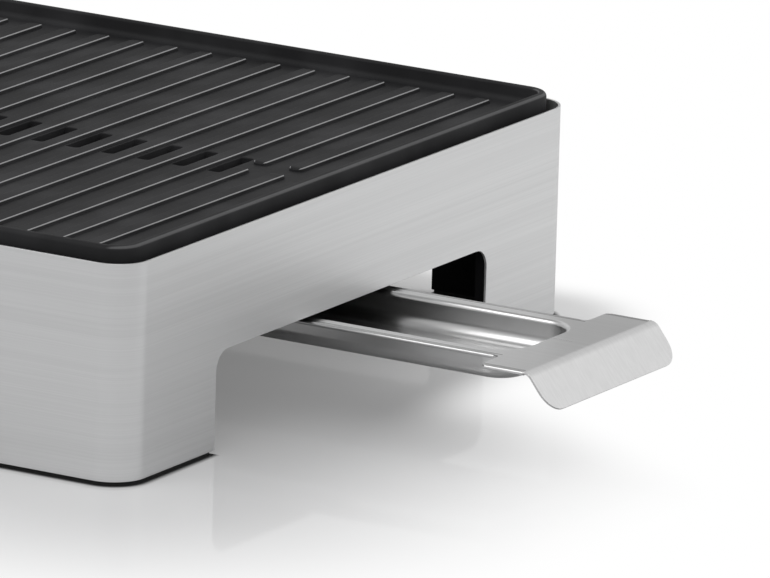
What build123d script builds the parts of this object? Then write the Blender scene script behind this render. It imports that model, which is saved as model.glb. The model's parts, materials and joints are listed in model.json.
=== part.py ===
from build123d import *
import os
from math import cos, radians, sin

# Electric table grill, in millimetres
# X runs along the long side and the drip tray leaves at +X
# The controls are at -Y, Z is up and the pieces are made about the housing's centre
# They are written out about the middle of the whole grill, on the table it stands on

# Housing band
housing_length = 533.0
housing_width = 330.0
housing_top = 86.2
housing_foot_gap = 1.5
band_wall = 1.0
band_corner_radius = 14.0
opening_top = 40.0
opening_corner_radius = 8.0
end_opening_width = 201.0
side_leg_width = 60.0

# Base frame, a moulded tub inside the band
frame_clearance = 0.3
frame_wall = 3.0
frame_floor_bottom = 41.0
frame_floor_thickness = 3.0
frame_top = 72.0
partition_wall = 3.0
side_room = 35.7
boss_diameter = 12.0
drain_clearance = 2.5

# Corner leg linings and the foot strips under them
lining_wall = 4.0
lining_setback = 0.3
column_diameter = 12.0
foot_width = 3.4
foot_end_inset = 1.0
peg_diameter = 2.2
peg_height = 4.0
peg_clearance = 0.05
peg_inset = 24.0

# Reflector pan and drip chute
pan_sheet = 0.8
pan_edge_gap = 1.0
pan_end_room = 15.2
pan_well_depth = 14.0
pan_well_corner_radius = 16.0
pan_bend_radius = 3.0
pan_wall_gap = 2.0
chute_end_margin = 12.75
chute_width = 42.0
chute_corner_radius = 5.0
chute_flange = 6.0
chute_bottom = 41.6

# Grill plate
plate_gap = 4.0
plate_corner_radius = 11.0
plate_underside = 79.9
plate_floor_top = 84.8
plate_rim_top = 91.6
rim_width = 3.5
rim_outer_radius = 1.8
rim_inner_radius = 1.0
rim_foot_radius = 2.5
plate_belly_radius = 4.0

# Ribs and drain slots
rib_pitch = 16.18
rib_width = 6.6
rib_height = 1.5
rib_draft = 15.0
rib_end_margin = 7.0
rib_end_radius = 1.6
rib_edge_margin = 27.0
broken_ribs_each_end = 2
broken_rib_gap = 11.0
slot_width = 6.0
slot_length = 26.4
slot_corner_radius = 1.5
slot_rib_gap = 0.4
collar_wall = 3.0
collar_height = 5.5
collar_gap = 3.0

# Plate supports
support_inset = 26.0
support_diameter = 14.0
support_flange_diameter = 19.0
support_flange_height = 1.5
support_recess_depth = 3.0
socket_clearance = 1.0
socket_wall = 3.0
socket_depth = 3.6

# Heating element
element_diameter = 6.5
element_plate_gap = 0.4
element_end_gap = 12.0
element_end_step = 19.0
element_side_gap = 15.0
element_run_spacing = 60.0
element_corner_radius = 16.0
element_turn_radius = 27.0
element_drop_radius = 10.0
element_drop_bottom = 61.0
terminal_half_spacing = 20.0
terminal_inset = 9.0
terminal_window_gap = 1.5
bead_diameter = 8.0
bead_length = 5.0
blade_width = 6.3
blade_thickness = 0.8
blade_length = 8.0
cradle_thickness = 1.2
cradle_width = 16.0
cradle_foot = 10.0
cradle_clearance = 0.1
cradle_inset = 100.0

# Drip tray, drawn and folded from sheet and shown pulled out
tray_sheet = 0.8
tray_flange_top = 38.0
tray_flange_width = 67.0
tray_basin_width = 50.0
tray_basin_depth = 12.2
tray_basin_corner_radius = 13.0
tray_bottom_radius = 5.2
tray_edge_radius = 2.0
tray_hem_width = 3.2
tray_end_land = 8.0
tray_handle_width = 97.0
tray_handle_flat = 19.0
tray_handle_corner_radius = 2.0
tray_tail_corner_radius = 5.0
tray_lip_angle = 52.0
tray_bend_radius = 5.0
tray_lip_length = 15.3
tray_tip_corner_radius = 9.0
tray_pull = 98.0
tray_step_out = 85.0
tray_basin_out = 85.6
tray_tail_inset = 28.0

# Tray rails
rail_side_clearance = 1.0
rail_top_clearance = 0.7
rail_bottom_clearance = 0.4
rail_wall = 1.2
rail_grip = 5.0
rail_end_inset = 16.0
rail_mount_width = 11.0
rail_stop_thickness = 1.5
rail_stop_clearance = 0.5

# Thermostat, nut, spindle and knob
control_height = 61.0
thermostat_length = 34.0
thermostat_height = 19.0
thermostat_depth = 22.0
thermostat_edge_radius = 1.5
bush_diameter = 9.0
bush_reach = 2.5
bush_hole_clearance = 0.2
nut_width = 13.0
nut_thickness = 2.0
nut_clearance = 0.02
spindle_diameter = 6.0
spindle_clearance = 0.05
spindle_tail = 12.0
spindle_flat = 1.5
spindle_engagement = 10.0
spindle_end_gap = 0.2
knob_diameter = 36.0
knob_depth = 16.0
knob_gap = 1.0
knob_draft = 2.0
knob_edge_radius = 1.5
knob_recess_diameter = 22.0
knob_recess_depth = 4.0
knob_bore_clearance = 0.02
pointer_width = 2.0
pointer_depth = 0.8
pointer_length = 10.0

# Indicator lamp
lamp_offset = 44.0
lens_diameter = 7.0
lens_head_diameter = 9.0
lens_head_height = 1.2
lens_stem_length = 9.0
lens_clearance = 0.1
holder_size = 13.0
holder_depth = 12.0

# Thermal fuse and its clamp
fuse_diameter = 4.0
fuse_length = 12.0
fuse_end_inset = 86.5
fuse_side_inset = 45.0
clamp_sheet = 0.8
clamp_width = 8.0
clamp_foot = 7.0
clamp_clearance = 0.1

# Terminal block, cord gland and internal leads
block_inset = 106.5
block_length = 32.0
block_width = 18.0
block_height = 16.0
block_edge_radius = 1.0
block_bores = 3
block_bore_pitch = 10.0
gland_inset = 61.5
gland_height = 57.0
gland_diameter = 12.0
gland_bore = 7.0
gland_collar_diameter = 18.0
gland_collar_height = 4.0
gland_edge_radius = 1.0
gland_nut_width = 17.0
gland_nut_height = 4.0
gland_tail = 3.0
gland_clearance = 0.15
lead_diameter = 2.4
lead_height = 53.0
lead_bend_radius = 8.0
lead_tight_radius = 4.0
lead_spacing = 10.0
lead_margin = 5.0
lead_clearance = 1.0
lead_run_inset = 32.0

# Fasteners
screw_diameter = 3.6
screw_head_diameter = 7.0
screw_head_height = 2.2
screw_clearance = 0.3
screw_bite = 8.0
leg_screw_seat = 24.0
recess_clearance = 0.6

# Sizes that follow from the ones above
band_inner_length = housing_length - 2 * band_wall
band_inner_width = housing_width - 2 * band_wall
band_inner_radius = band_corner_radius - band_wall
frame_length = band_inner_length - 2 * frame_clearance
frame_width = band_inner_width - 2 * frame_clearance
frame_radius = band_inner_radius - frame_clearance
frame_floor_top = frame_floor_bottom + frame_floor_thickness
side_opening_width = housing_length - 2 * side_leg_width
band_front = -housing_width / 2
skirt_front = -frame_width / 2
skirt_inside = skirt_front + frame_wall
partition_outside = frame_width / 2 - frame_wall - side_room
partition_y = partition_outside - partition_wall

pan_top = frame_top + pan_sheet
pan_well_length = frame_length - 2 * pan_end_room
pan_well_width = 2 * (partition_y - pan_wall_gap)
well_floor = pan_top - pan_well_depth
well_underside = well_floor - pan_sheet
element_radius = element_diameter / 2
element_height = plate_underside - element_plate_gap - element_radius
element_outer_x = pan_well_length / 2 - element_end_gap
element_inner_x = element_outer_x - element_end_step
element_outer_y = pan_well_width / 2 - element_side_gap
element_inner_y = element_outer_y - element_run_spacing
cradle_x = pan_well_length / 2 - cradle_inset
terminal_y = -(partition_outside + terminal_inset)

plate_length = housing_length - 2 * (plate_gap + band_wall)
plate_width = housing_width - 2 * (plate_gap + band_wall)
support_x = plate_length / 2 - support_inset
support_y = plate_width / 2 - support_inset
support_seat = plate_underside - support_recess_depth
rib_count = int((housing_length - 2 * rib_edge_margin - rib_width) // rib_pitch) + 1
rib_length = plate_width - 2 * (rim_width + rib_end_margin)
slot_ribs = range(broken_ribs_each_end, rib_count - broken_ribs_each_end)
slot_offset = rib_width / 2 + slot_rib_gap + slot_width / 2
slot_row_length = (len(slot_ribs) - 1) * rib_pitch + slot_width
chute_length = slot_row_length + 2 * chute_end_margin

tray_step_x = housing_length / 2 + tray_step_out
tray_bend_x = tray_step_x + tray_handle_flat
tray_tail_x = tray_pull - housing_length / 2 + tray_tail_inset
tray_hem_bottom = tray_flange_top - 2 * tray_sheet
basin_front_x = housing_length / 2 + tray_basin_out
basin_back_x = tray_tail_x + tray_end_land + tray_edge_radius
basin_floor = tray_flange_top - tray_basin_depth

rail_face = tray_flange_width / 2 + rail_side_clearance
rail_lip_top = tray_hem_bottom - rail_bottom_clearance
rail_back_x = tray_tail_x - tray_pull - rail_stop_clearance - rail_stop_thickness
rail_front_x = housing_length / 2 - rail_end_inset
rail_screw_y = rail_face + rail_wall + rail_mount_width / 2

knob_back = band_front - knob_gap
knob_front = knob_back - knob_depth
recess_floor = knob_back - knob_recess_depth

fuse_x = fuse_end_inset - housing_length / 2
fuse_y = pan_well_width / 2 - fuse_side_inset
block_x = block_inset - housing_length / 2
gland_x = gland_inset - housing_length / 2
lead_run_y = partition_y - lead_run_inset
lead_x = -(chute_length / 2 + chute_flange + lead_margin)


lip_turn = radians(tray_lip_angle)
tray_tip_x = tray_bend_x + tray_bend_radius * sin(lip_turn) + tray_lip_length * cos(lip_turn)
whole_middle_x = (tray_tip_x - housing_length / 2) / 2
whole_middle_y = (knob_front + housing_width / 2 + gland_collar_height) / 2


# Shared shapes
def rounded_block(length, width, radius, bottom, top, x=0.0):
    return Pos(x, 0, bottom) * extrude(RectangleRounded(length, width, radius), top - bottom)


def box_between(low, high):
    size = [far - near for near, far in zip(low, high)]
    middle = [(far + near) / 2 for near, far in zip(low, high)]
    return Pos(*middle) * Box(*size)


def upright_cylinder(x, y, diameter, bottom, top):
    return Pos(x, y, (bottom + top) / 2) * Cylinder(diameter / 2, top - bottom)


def cylinder_along_y(x, z, diameter, low_y, high_y):
    place = Pos(x, (low_y + high_y) / 2, z) * Rot(90, 0, 0)
    return place * Cylinder(diameter / 2, high_y - low_y)


def four_corners(x, y):
    return [(sx * x, sy * y) for sx in (-1, 1) for sy in (-1, 1)]


def opening_tool(plane, width, top, reach):
    return extrude(plane * RectangleRounded(width, 2 * top, opening_corner_radius), reach, both=True)


def leg_gaps(extra, top):
    end_gap = opening_tool(Plane.YZ, end_opening_width + 2 * extra, top, housing_length)
    side_gap = opening_tool(Plane.XZ, side_opening_width + 2 * extra, top, housing_width)
    return end_gap + side_gap


def corner_quarter(sx, sy):
    quarter = Box(housing_length, housing_width, 2 * housing_top)
    return Pos(sx * housing_length / 2, sy * housing_width / 2, 0) * quarter


def pan_head(x, y, low, high, domed_end):
    head = upright_cylinder(x, y, screw_head_diameter, low, high)
    rim = head.edges().filter_by(GeomType.CIRCLE).sort_by(Axis.Z)[domed_end]
    return fillet(rim, screw_head_height / 2)


def screw_from_below(x, y, seat, length):
    head = pan_head(x, y, seat - screw_head_height, seat, 0)
    return head + upright_cylinder(x, y, screw_diameter, seat, seat + length)


def screw_from_above(x, y, seat, length):
    head = pan_head(x, y, seat, seat + screw_head_height, -1)
    return head + upright_cylinder(x, y, screw_diameter, seat - length, seat)


def tube_along(points, radii, diameter):
    route = FilletPolyline(*points, radius=radii)
    start = Plane(origin=route @ 0, z_dir=route % 0)
    return sweep(start * Circle(diameter / 2), path=route)


def hexagon_along_y(x, z, width, bore, low_y, high_y):
    profile = RegularPolygon(width / 2, 6, major_radius=False) - Circle(bore / 2)
    return Pos(x, high_y, z) * extrude(Plane.XZ * profile, high_y - low_y)


# Housing band
def make_housing_band():
    above = housing_top + band_wall
    band = rounded_block(
        housing_length, housing_width, band_corner_radius, housing_foot_gap, housing_top
    )
    band -= rounded_block(band_inner_length, band_inner_width, band_inner_radius, 0, above)
    band -= leg_gaps(0, opening_top)
    for x, z, diameter, face in wall_holes():
        band -= cylinder_along_y(x, z, diameter, face - 2 * band_wall, face + 2 * band_wall)
    return band


def wall_holes():
    return [
        (0, control_height, bush_diameter + 2 * bush_hole_clearance, band_front),
        (lamp_offset, control_height, lens_diameter + 2 * lens_clearance, band_front),
        (gland_x, gland_height, gland_diameter + 2 * gland_clearance, -band_front),
    ]


# Base frame
def make_base_frame():
    frame = rounded_block(
        frame_length, frame_width, frame_radius, frame_floor_bottom, frame_top
    )
    frame -= rounded_block(
        frame_length - 2 * frame_wall,
        frame_width - 2 * frame_wall,
        frame_radius - frame_wall,
        frame_floor_top,
        housing_top,
    )
    reach = frame_length / 2 - frame_wall / 2
    for side in (-1, 1):
        near, far = sorted((side * partition_y, side * (partition_y + partition_wall)))
        frame += box_between((-reach, near, frame_floor_bottom), (reach, far, frame_top))
    for x, y in four_corners(support_x, support_y):
        frame += upright_cylinder(x, y, boss_diameter, frame_floor_bottom, frame_top)
    for x, y in leg_columns():
        top = frame_floor_bottom + screw_bite + frame_wall
        frame += upright_cylinder(x, y, column_diameter, frame_floor_bottom, top)
    frame -= rounded_block(
        chute_length + 2 * drain_clearance,
        chute_width + 2 * drain_clearance,
        chute_corner_radius + drain_clearance,
        0,
        frame_top,
    )
    for x, y in four_corners(support_x, support_y):
        frame -= upright_cylinder(x, y, screw_diameter, frame_top - screw_bite, frame_top)
    for x, y in leg_columns():
        frame -= upright_cylinder(x, y, screw_diameter, 0, frame_floor_bottom + screw_bite)
    for x, y in rail_screw_places():
        frame -= upright_cylinder(x, y, screw_diameter, 0, frame_floor_top)
    for x, z, diameter, face in wall_holes():
        frame -= cylinder_along_y(x, z, diameter, face - 2 * frame_wall, face + 2 * frame_wall)
    return frame - lead_notches()


def leg_columns():
    inset = frame_wall + column_diameter / 2
    return four_corners(frame_length / 2 - inset, frame_width / 2 - inset)


def rail_screw_places():
    middle = (rail_back_x + rail_front_x) / 2
    reach = (rail_front_x - rail_back_x) / 2 - 2 * rail_mount_width
    return [(middle + k * reach, side * rail_screw_y) for k in (-1, 0, 1) for side in (-1, 1)]


def lead_notches():
    half = lead_diameter / 2 + lead_clearance
    top = lead_height + half
    notches = []
    for side, centre, spread in (
        (1, block_x, lead_spacing / 2),
        (-1, (element_lead_x() + thermostat_lead_x()) / 2, lead_spacing / 2),
    ):
        middle = side * (partition_y + partition_wall / 2)
        low = (centre - spread - half, middle - partition_wall, frame_floor_top)
        high = (centre + spread + half, middle + partition_wall, top)
        notches.append(box_between(low, high))
    return notches[0] + notches[1]


# Leg linings and foot strips
def make_leg_lining(sx, sy):
    shell = rounded_block(
        frame_length, frame_width, frame_radius, housing_foot_gap, frame_floor_bottom
    )
    shell -= rounded_block(
        frame_length - 2 * lining_wall,
        frame_width - 2 * lining_wall,
        frame_radius - lining_wall,
        0,
        frame_top,
    )
    lining = (shell - leg_gaps(lining_setback, frame_top)) & corner_quarter(sx, sy)
    for x, y in leg_columns():
        if x * sx > 0 and y * sy > 0:
            lining += upright_cylinder(
                x, y, column_diameter, housing_foot_gap, frame_floor_bottom
            )
            head_hole = screw_head_diameter + 2 * recess_clearance
            lining -= upright_cylinder(x, y, head_hole, 0, leg_screw_seat)
            shank_hole = screw_diameter + 2 * screw_clearance
            lining -= upright_cylinder(x, y, shank_hole, 0, frame_floor_bottom)
    for x, y in peg_places(sx, sy):
        top = housing_foot_gap + peg_height + peg_clearance
        lining -= upright_cylinder(x, y, peg_diameter + 2 * peg_clearance, 0, top)
    return lining


def peg_places(sx, sy):
    wall_middle = lining_wall / 2
    along_x = frame_length / 2 - peg_inset
    along_y = frame_width / 2 - peg_inset
    return [
        (sx * along_x, sy * (frame_width / 2 - wall_middle)),
        (sx * (frame_length / 2 - wall_middle), sy * along_y),
    ]


def make_foot_strip(sx, sy):
    inset = (lining_wall - foot_width) / 2
    strip = rounded_block(
        frame_length - 2 * inset,
        frame_width - 2 * inset,
        frame_radius - inset,
        0,
        housing_foot_gap,
    )
    strip -= rounded_block(
        frame_length - 2 * (inset + foot_width),
        frame_width - 2 * (inset + foot_width),
        frame_radius - inset - foot_width,
        -housing_foot_gap,
        frame_top,
    )
    strip = (strip - leg_gaps(lining_setback + foot_end_inset, frame_top)) & corner_quarter(sx, sy)
    for x, y in peg_places(sx, sy):
        strip += upright_cylinder(x, y, peg_diameter, 0, housing_foot_gap + peg_height)
    return strip


# Reflector pan and drip chute
def make_reflector_pan():
    pan = rounded_block(
        band_inner_length - 2 * pan_edge_gap,
        band_inner_width - 2 * pan_edge_gap,
        band_inner_radius - pan_edge_gap,
        frame_top,
        pan_top,
    )
    well = rounded_block(
        pan_well_length, pan_well_width, pan_well_corner_radius, well_underside, pan_top
    )
    well = fillet(well.faces().sort_by(Axis.Z)[0].edges(), pan_bend_radius + pan_sheet)
    hollow = rounded_block(
        pan_well_length - 2 * pan_sheet,
        pan_well_width - 2 * pan_sheet,
        pan_well_corner_radius - pan_sheet,
        well_floor,
        housing_top,
    )
    hollow = fillet(hollow.faces().sort_by(Axis.Z)[0].edges(), pan_bend_radius)
    pan = pan + well - hollow
    pan -= rounded_block(
        chute_length - 2 * pan_sheet,
        chute_width - 2 * pan_sheet,
        chute_corner_radius - pan_sheet,
        0,
        housing_top,
    )
    for x, y in four_corners(support_x, support_y):
        pan -= upright_cylinder(x, y, screw_diameter + 2 * screw_clearance, 0, housing_top)
    window = element_diameter + 2 * terminal_window_gap
    stretch = element_drop_radius / 2
    for x in terminal_places():
        shape = RectangleRounded(window, window + stretch, element_radius)
        pan -= Pos(x, terminal_y + stretch / 2, 0) * extrude(shape, housing_top)
    return pan


def make_drip_chute():
    chute = rounded_block(
        chute_length, chute_width, chute_corner_radius, chute_bottom, well_underside
    )
    chute += rounded_block(
        chute_length + 2 * chute_flange,
        chute_width + 2 * chute_flange,
        chute_corner_radius + chute_flange,
        well_underside - pan_sheet,
        well_underside,
    )
    return chute - rounded_block(
        chute_length - 2 * pan_sheet,
        chute_width - 2 * pan_sheet,
        chute_corner_radius - pan_sheet,
        0,
        housing_top,
    )


# Grill plate
def rib_x(number):
    return (number - (rib_count - 1) / 2) * rib_pitch


def make_rib(x, y, length):
    foot = RectangleRounded(rib_width, length, rib_end_radius)
    return Pos(x, y, plate_floor_top) * extrude(foot, rib_height, taper=rib_draft)


def make_ribs():
    ribs = []
    for number in range(rib_count):
        if number in slot_ribs:
            ribs.append(make_rib(rib_x(number), 0, rib_length))
        else:
            half = (rib_length - broken_rib_gap) / 2
            for side in (-1, 1):
                middle = side * (broken_rib_gap + half) / 2
                ribs.append(make_rib(rib_x(number), middle, half))
    return ribs


def make_slots():
    shape = RectangleRounded(slot_width, slot_length, slot_corner_radius)
    tool = Pos(0, 0, frame_top) * extrude(shape, plate_rim_top - frame_top)
    return [Pos(rib_x(number) + slot_offset, 0, 0) * tool for number in slot_ribs]


def make_drip_collar():
    middle = (rib_x(slot_ribs[-1]) + rib_x(slot_ribs[0])) / 2 + slot_offset
    inner_length = slot_row_length + 2 * collar_gap
    inner_width = slot_length + 2 * collar_gap
    bottom = plate_underside - collar_height
    collar = rounded_block(
        inner_length + 2 * collar_wall,
        inner_width + 2 * collar_wall,
        collar_gap + collar_wall,
        bottom,
        plate_underside,
        middle,
    )
    return collar - rounded_block(
        inner_length, inner_width, collar_gap, bottom, plate_underside, middle
    )


def make_grill_plate():
    plate = rounded_block(
        plate_length, plate_width, plate_corner_radius, plate_underside, plate_rim_top
    )
    plate = fillet(plate.faces().sort_by(Axis.Z)[0].edges(), plate_belly_radius)
    plate -= rounded_block(
        plate_length - 2 * rim_width,
        plate_width - 2 * rim_width,
        plate_corner_radius - rim_width,
        plate_floor_top,
        plate_rim_top,
    )
    rim = plate.faces().filter_by(Plane.XY).sort_by(Axis.Z)[-1]
    outer = rim.outer_wire().edges()
    inner = rim.inner_wires()[0].edges()
    plate = fillet(outer, rim_outer_radius)
    plate = fillet(edges_like(plate, inner), rim_inner_radius)
    floor = plate.faces().filter_by(Plane.XY).filter_by(at_height(plate_floor_top))[0]
    plate = fillet(floor.outer_wire().edges(), rim_foot_radius)
    plate += make_drip_collar()
    socket_inner = support_diameter + 2 * socket_clearance
    socket_outer = socket_inner + 2 * socket_wall
    for x, y in four_corners(support_x, support_y):
        bottom = plate_underside - socket_depth
        plate += upright_cylinder(x, y, socket_outer, bottom, plate_underside)
        plate -= upright_cylinder(x, y, socket_inner, bottom, plate_underside)
    plate += make_ribs()
    return plate - make_slots()


def at_height(level):
    return lambda face: abs(face.center().Z - level) < rib_height / 10


def edges_like(solid, wanted):
    middles = [edge @ 0.5 for edge in wanted]
    near = plate_belly_radius / 100
    return [e for e in solid.edges() if any((e @ 0.5 - m).length < near for m in middles)]


# Plate supports
def make_plate_support(x, y):
    flange_top = pan_top + support_flange_height
    post = upright_cylinder(x, y, support_diameter, pan_top, plate_underside)
    post += upright_cylinder(x, y, support_flange_diameter, pan_top, flange_top)
    head_hole = screw_head_diameter + 2 * recess_clearance
    post -= upright_cylinder(x, y, head_hole, support_seat, plate_underside)
    shank_hole = screw_diameter + 2 * screw_clearance
    return post - upright_cylinder(x, y, shank_hole, pan_top, plate_underside)


# Heating element
def element_points():
    z = element_height
    near, far = element_inner_x, element_outer_x
    half = terminal_half_spacing
    plan = [
        (-half, terminal_y),
        (-half, -element_outer_y),
        (-far, -element_outer_y),
        (-far, element_outer_y),
        (near, element_outer_y),
        (near, element_inner_y),
        (-near, element_inner_y),
        (-near, -element_inner_y),
        (near, -element_inner_y),
        (near, -element_outer_y),
        (half, -element_outer_y),
        (half, terminal_y),
    ]
    loop = [(x, y, z) for x, y in plan]
    first = (-half, terminal_y, element_drop_bottom)
    last = (half, terminal_y, element_drop_bottom)
    return [first, *loop, last]


def make_heating_element():
    corner, turn, drop = element_corner_radius, element_turn_radius, element_drop_radius
    radii = [drop, *[corner] * 3, turn, turn, corner, corner, turn, turn, corner, drop]
    return tube_along(element_points(), radii, element_diameter)


def terminal_places():
    return [side * terminal_half_spacing for side in (-1, 1)]


def make_element_beads():
    bottom = element_drop_bottom - bead_length
    return [
        upright_cylinder(x, terminal_y, bead_diameter, bottom, element_drop_bottom)
        for x in terminal_places()
    ]


def make_element_blades():
    top = element_drop_bottom - bead_length
    blades = []
    for x in terminal_places():
        low = (x - blade_width / 2, terminal_y - blade_thickness / 2, top - blade_length)
        high = (x + blade_width / 2, terminal_y + blade_thickness / 2, top)
        blades.append(box_between(low, high))
    return blades


def make_element_cradles():
    cradles = []
    notch = element_diameter + 2 * cradle_clearance
    for x in (-cradle_x, cradle_x):
        for y in (-element_outer_y, -element_inner_y, element_inner_y, element_outer_y):
            low_y, high_y = y - cradle_width / 2, y + cradle_width / 2
            upright = box_between(
                (x, low_y, well_floor), (x + cradle_thickness, high_y, element_height)
            )
            place = Pos(x, y, element_height) * Rot(0, 90, 0)
            upright -= place * Cylinder(notch / 2, 2 * cradle_foot)
            foot_top = well_floor + cradle_thickness
            foot = box_between((x, low_y, well_floor), (x + cradle_foot, high_y, foot_top))
            cradles.append(upright + foot)
    return cradles


# Drip tray
def tray_outline():
    body_middle = (tray_tail_x + tray_step_x) / 2
    handle_middle = (tray_step_x + tray_bend_x) / 2
    body = Pos(body_middle, 0) * Rectangle(tray_step_x - tray_tail_x, tray_flange_width)
    handle = Pos(handle_middle, 0) * Rectangle(tray_handle_flat, tray_handle_width)
    outline = body + handle
    tail = outline.vertices().sort_by(Axis.X)[:2]
    outline = fillet(tail, tray_tail_corner_radius)
    steps = [v for v in outline.vertices() if abs(v.X - tray_step_x) < tray_sheet]
    return fillet(steps, tray_handle_corner_radius)


def make_tray_lip():
    angle = lip_turn
    along = (cos(angle), -sin(angle))
    centre = (tray_bend_x, tray_flange_top - tray_bend_radius)

    def lip_curve(radius):
        start = (tray_bend_x, centre[1] + radius)
        turn = (centre[0] + radius * sin(angle), centre[1] + radius * cos(angle))
        tip = (turn[0] + tray_lip_length * along[0], turn[1] + tray_lip_length * along[1])
        arc = CenterArc(centre, radius, 90, -tray_lip_angle)
        return start, arc, Line(turn, tip), tip

    top_start, top_arc, top_line, top_tip = lip_curve(tray_bend_radius)
    low_start, low_arc, low_line, low_tip = lip_curve(tray_bend_radius - tray_sheet)
    edges = [top_arc, top_line, Line(top_tip, low_tip), low_line, low_arc]
    profile = make_face(edges + [Line(low_start, top_start)])
    lip = extrude(Plane.XZ * profile, tray_handle_width / 2, both=True)
    face_plane = Plane(
        origin=(top_tip[0], 0, top_tip[1]),
        x_dir=(0, 1, 0),
        z_dir=(sin(angle), 0, cos(angle)),
    )
    reach = 4 * tray_lip_length
    keep = RectangleRounded(tray_handle_width, reach, tray_tip_corner_radius)
    return lip & extrude(face_plane * Pos(0, reach / 2) * keep, tray_lip_length, both=True)


def make_tray_hems():
    hems = []
    runs = (
        (tray_flange_width / 2, tray_tail_x + tray_tail_corner_radius, tray_step_x),
        (tray_handle_width / 2, tray_step_x + tray_handle_corner_radius, tray_bend_x),
    )
    fold_top = tray_flange_top - tray_sheet
    for outer, start, end in runs:
        for side in (-1, 1):
            near, far = sorted((side * (outer - tray_hem_width), side * outer))
            hems.append(box_between((start, near, tray_hem_bottom), (end, far, fold_top)))
    return hems


def make_drip_tray():
    sheet_bottom = tray_flange_top - tray_sheet
    tray = Pos(0, 0, sheet_bottom) * extrude(tray_outline(), tray_sheet)
    inner_length = basin_front_x - basin_back_x
    middle = (basin_front_x + basin_back_x) / 2
    shell = rounded_block(
        inner_length + 2 * tray_sheet,
        tray_basin_width + 2 * tray_sheet,
        tray_basin_corner_radius + tray_sheet,
        basin_floor - tray_sheet,
        tray_flange_top,
        middle,
    )
    shell = fillet(shell.faces().sort_by(Axis.Z)[0].edges(), tray_bottom_radius + tray_sheet)
    hollow = rounded_block(
        inner_length,
        tray_basin_width,
        tray_basin_corner_radius,
        basin_floor,
        housing_top,
        middle,
    )
    hollow = fillet(hollow.faces().sort_by(Axis.Z)[0].edges(), tray_bottom_radius)
    tray = tray + shell
    under = tray.faces().filter_by(Plane.XY).filter_by(at_height(sheet_bottom))[0]
    tray = fillet(under.inner_wires()[0].edges(), tray_edge_radius - tray_sheet)
    tray -= hollow
    top = tray.faces().filter_by(Plane.XY).sort_by(Axis.Z)[-1]
    tray = fillet(top.inner_wires()[0].edges(), tray_edge_radius)
    return tray + make_tray_hems() + make_tray_lip()


# Tray rails
def make_tray_rail(side):
    inner, outer = rail_face - rail_grip, rail_face + rail_wall
    high_lip = tray_flange_top + rail_top_clearance
    mount_bottom = frame_floor_bottom - rail_wall
    low_lip = rail_lip_top - rail_wall
    bars = (
        (rail_face, outer, low_lip, frame_floor_bottom),
        (inner, outer, low_lip, rail_lip_top),
        (inner, outer, high_lip, high_lip + rail_wall),
        (rail_face, outer + rail_mount_width, mount_bottom, frame_floor_bottom),
    )
    profile = Sketch()
    for near, far, bottom, top in bars:
        bar = Rectangle(far - near, top - bottom)
        profile += Pos(side * (near + far) / 2, (bottom + top) / 2) * bar
    length = rail_front_x - rail_back_x
    rail = Pos(rail_back_x, 0, 0) * extrude(Plane.YZ * profile, length)
    near, far = sorted((side * inner, side * outer))
    rail += box_between(
        (rail_back_x, near, low_lip), (rail_back_x + rail_stop_thickness, far, high_lip)
    )
    hole = screw_diameter + 2 * screw_clearance
    for x, y in rail_screw_places():
        if y * side > 0:
            rail -= upright_cylinder(x, y, hole, mount_bottom, frame_floor_bottom)
    return rail


# Thermostat, nut, spindle and knob
def make_thermostat():
    half_length, half_height = thermostat_length / 2, thermostat_height / 2
    body = box_between(
        (-half_length, skirt_inside, control_height - half_height),
        (half_length, skirt_inside + thermostat_depth, control_height + half_height),
    )
    body = fillet(body.edges().filter_by(Axis.Y), thermostat_edge_radius)
    tip = band_front - bush_reach
    body += cylinder_along_y(0, control_height, bush_diameter, tip, skirt_inside)
    bore = spindle_diameter + 2 * spindle_clearance
    back = skirt_inside + spindle_tail
    return body - cylinder_along_y(0, control_height, bore, tip, back)


def make_thermostat_nut():
    bore = bush_diameter + 2 * nut_clearance
    front = band_front - nut_thickness
    return hexagon_along_y(0, control_height, nut_width, bore, front, band_front)


def flatted_shaft(radius, flat_above, low_y, high_y):
    shaft = cylinder_along_y(0, control_height, 2 * radius, low_y, high_y)
    return shaft - box_between(
        (-radius, low_y, control_height + flat_above),
        (radius, high_y, control_height + 2 * radius),
    )


def make_thermostat_spindle():
    radius = spindle_diameter / 2
    back = skirt_inside + spindle_tail - spindle_end_gap
    tip = recess_floor - spindle_engagement + spindle_end_gap
    shaft = cylinder_along_y(0, control_height, spindle_diameter, recess_floor, back)
    return shaft + flatted_shaft(radius, radius - spindle_flat, tip, recess_floor)


def make_control_knob():
    face = Pos(0, knob_back, control_height) * Plane.XZ.location
    knob = extrude(face * Circle(knob_diameter / 2), knob_depth, taper=knob_draft)
    rim = knob.edges().filter_by(GeomType.CIRCLE).sort_by(Axis.Y)[0]
    knob = fillet(rim, knob_edge_radius)
    knob -= cylinder_along_y(0, control_height, knob_recess_diameter, recess_floor, knob_back)
    radius = spindle_diameter / 2
    bore_end = recess_floor - spindle_engagement
    knob -= flatted_shaft(
        radius + knob_bore_clearance,
        radius - spindle_flat + knob_bore_clearance,
        bore_end,
        recess_floor,
    )
    top = control_height + knob_diameter / 2
    return knob - box_between(
        (-pointer_width / 2, knob_front, top - pointer_length),
        (pointer_width / 2, knob_front + pointer_depth, top),
    )


# Indicator lamp
def make_indicator_lens():
    head_front = band_front - lens_head_height
    head = cylinder_along_y(
        lamp_offset, control_height, lens_head_diameter, head_front, band_front
    )
    rim = head.edges().filter_by(GeomType.CIRCLE).sort_by(Axis.Y)[0]
    head = fillet(rim, lens_head_height / 2)
    stem_end = band_front + lens_stem_length
    return head + cylinder_along_y(
        lamp_offset, control_height, lens_diameter, band_front, stem_end
    )


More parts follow.
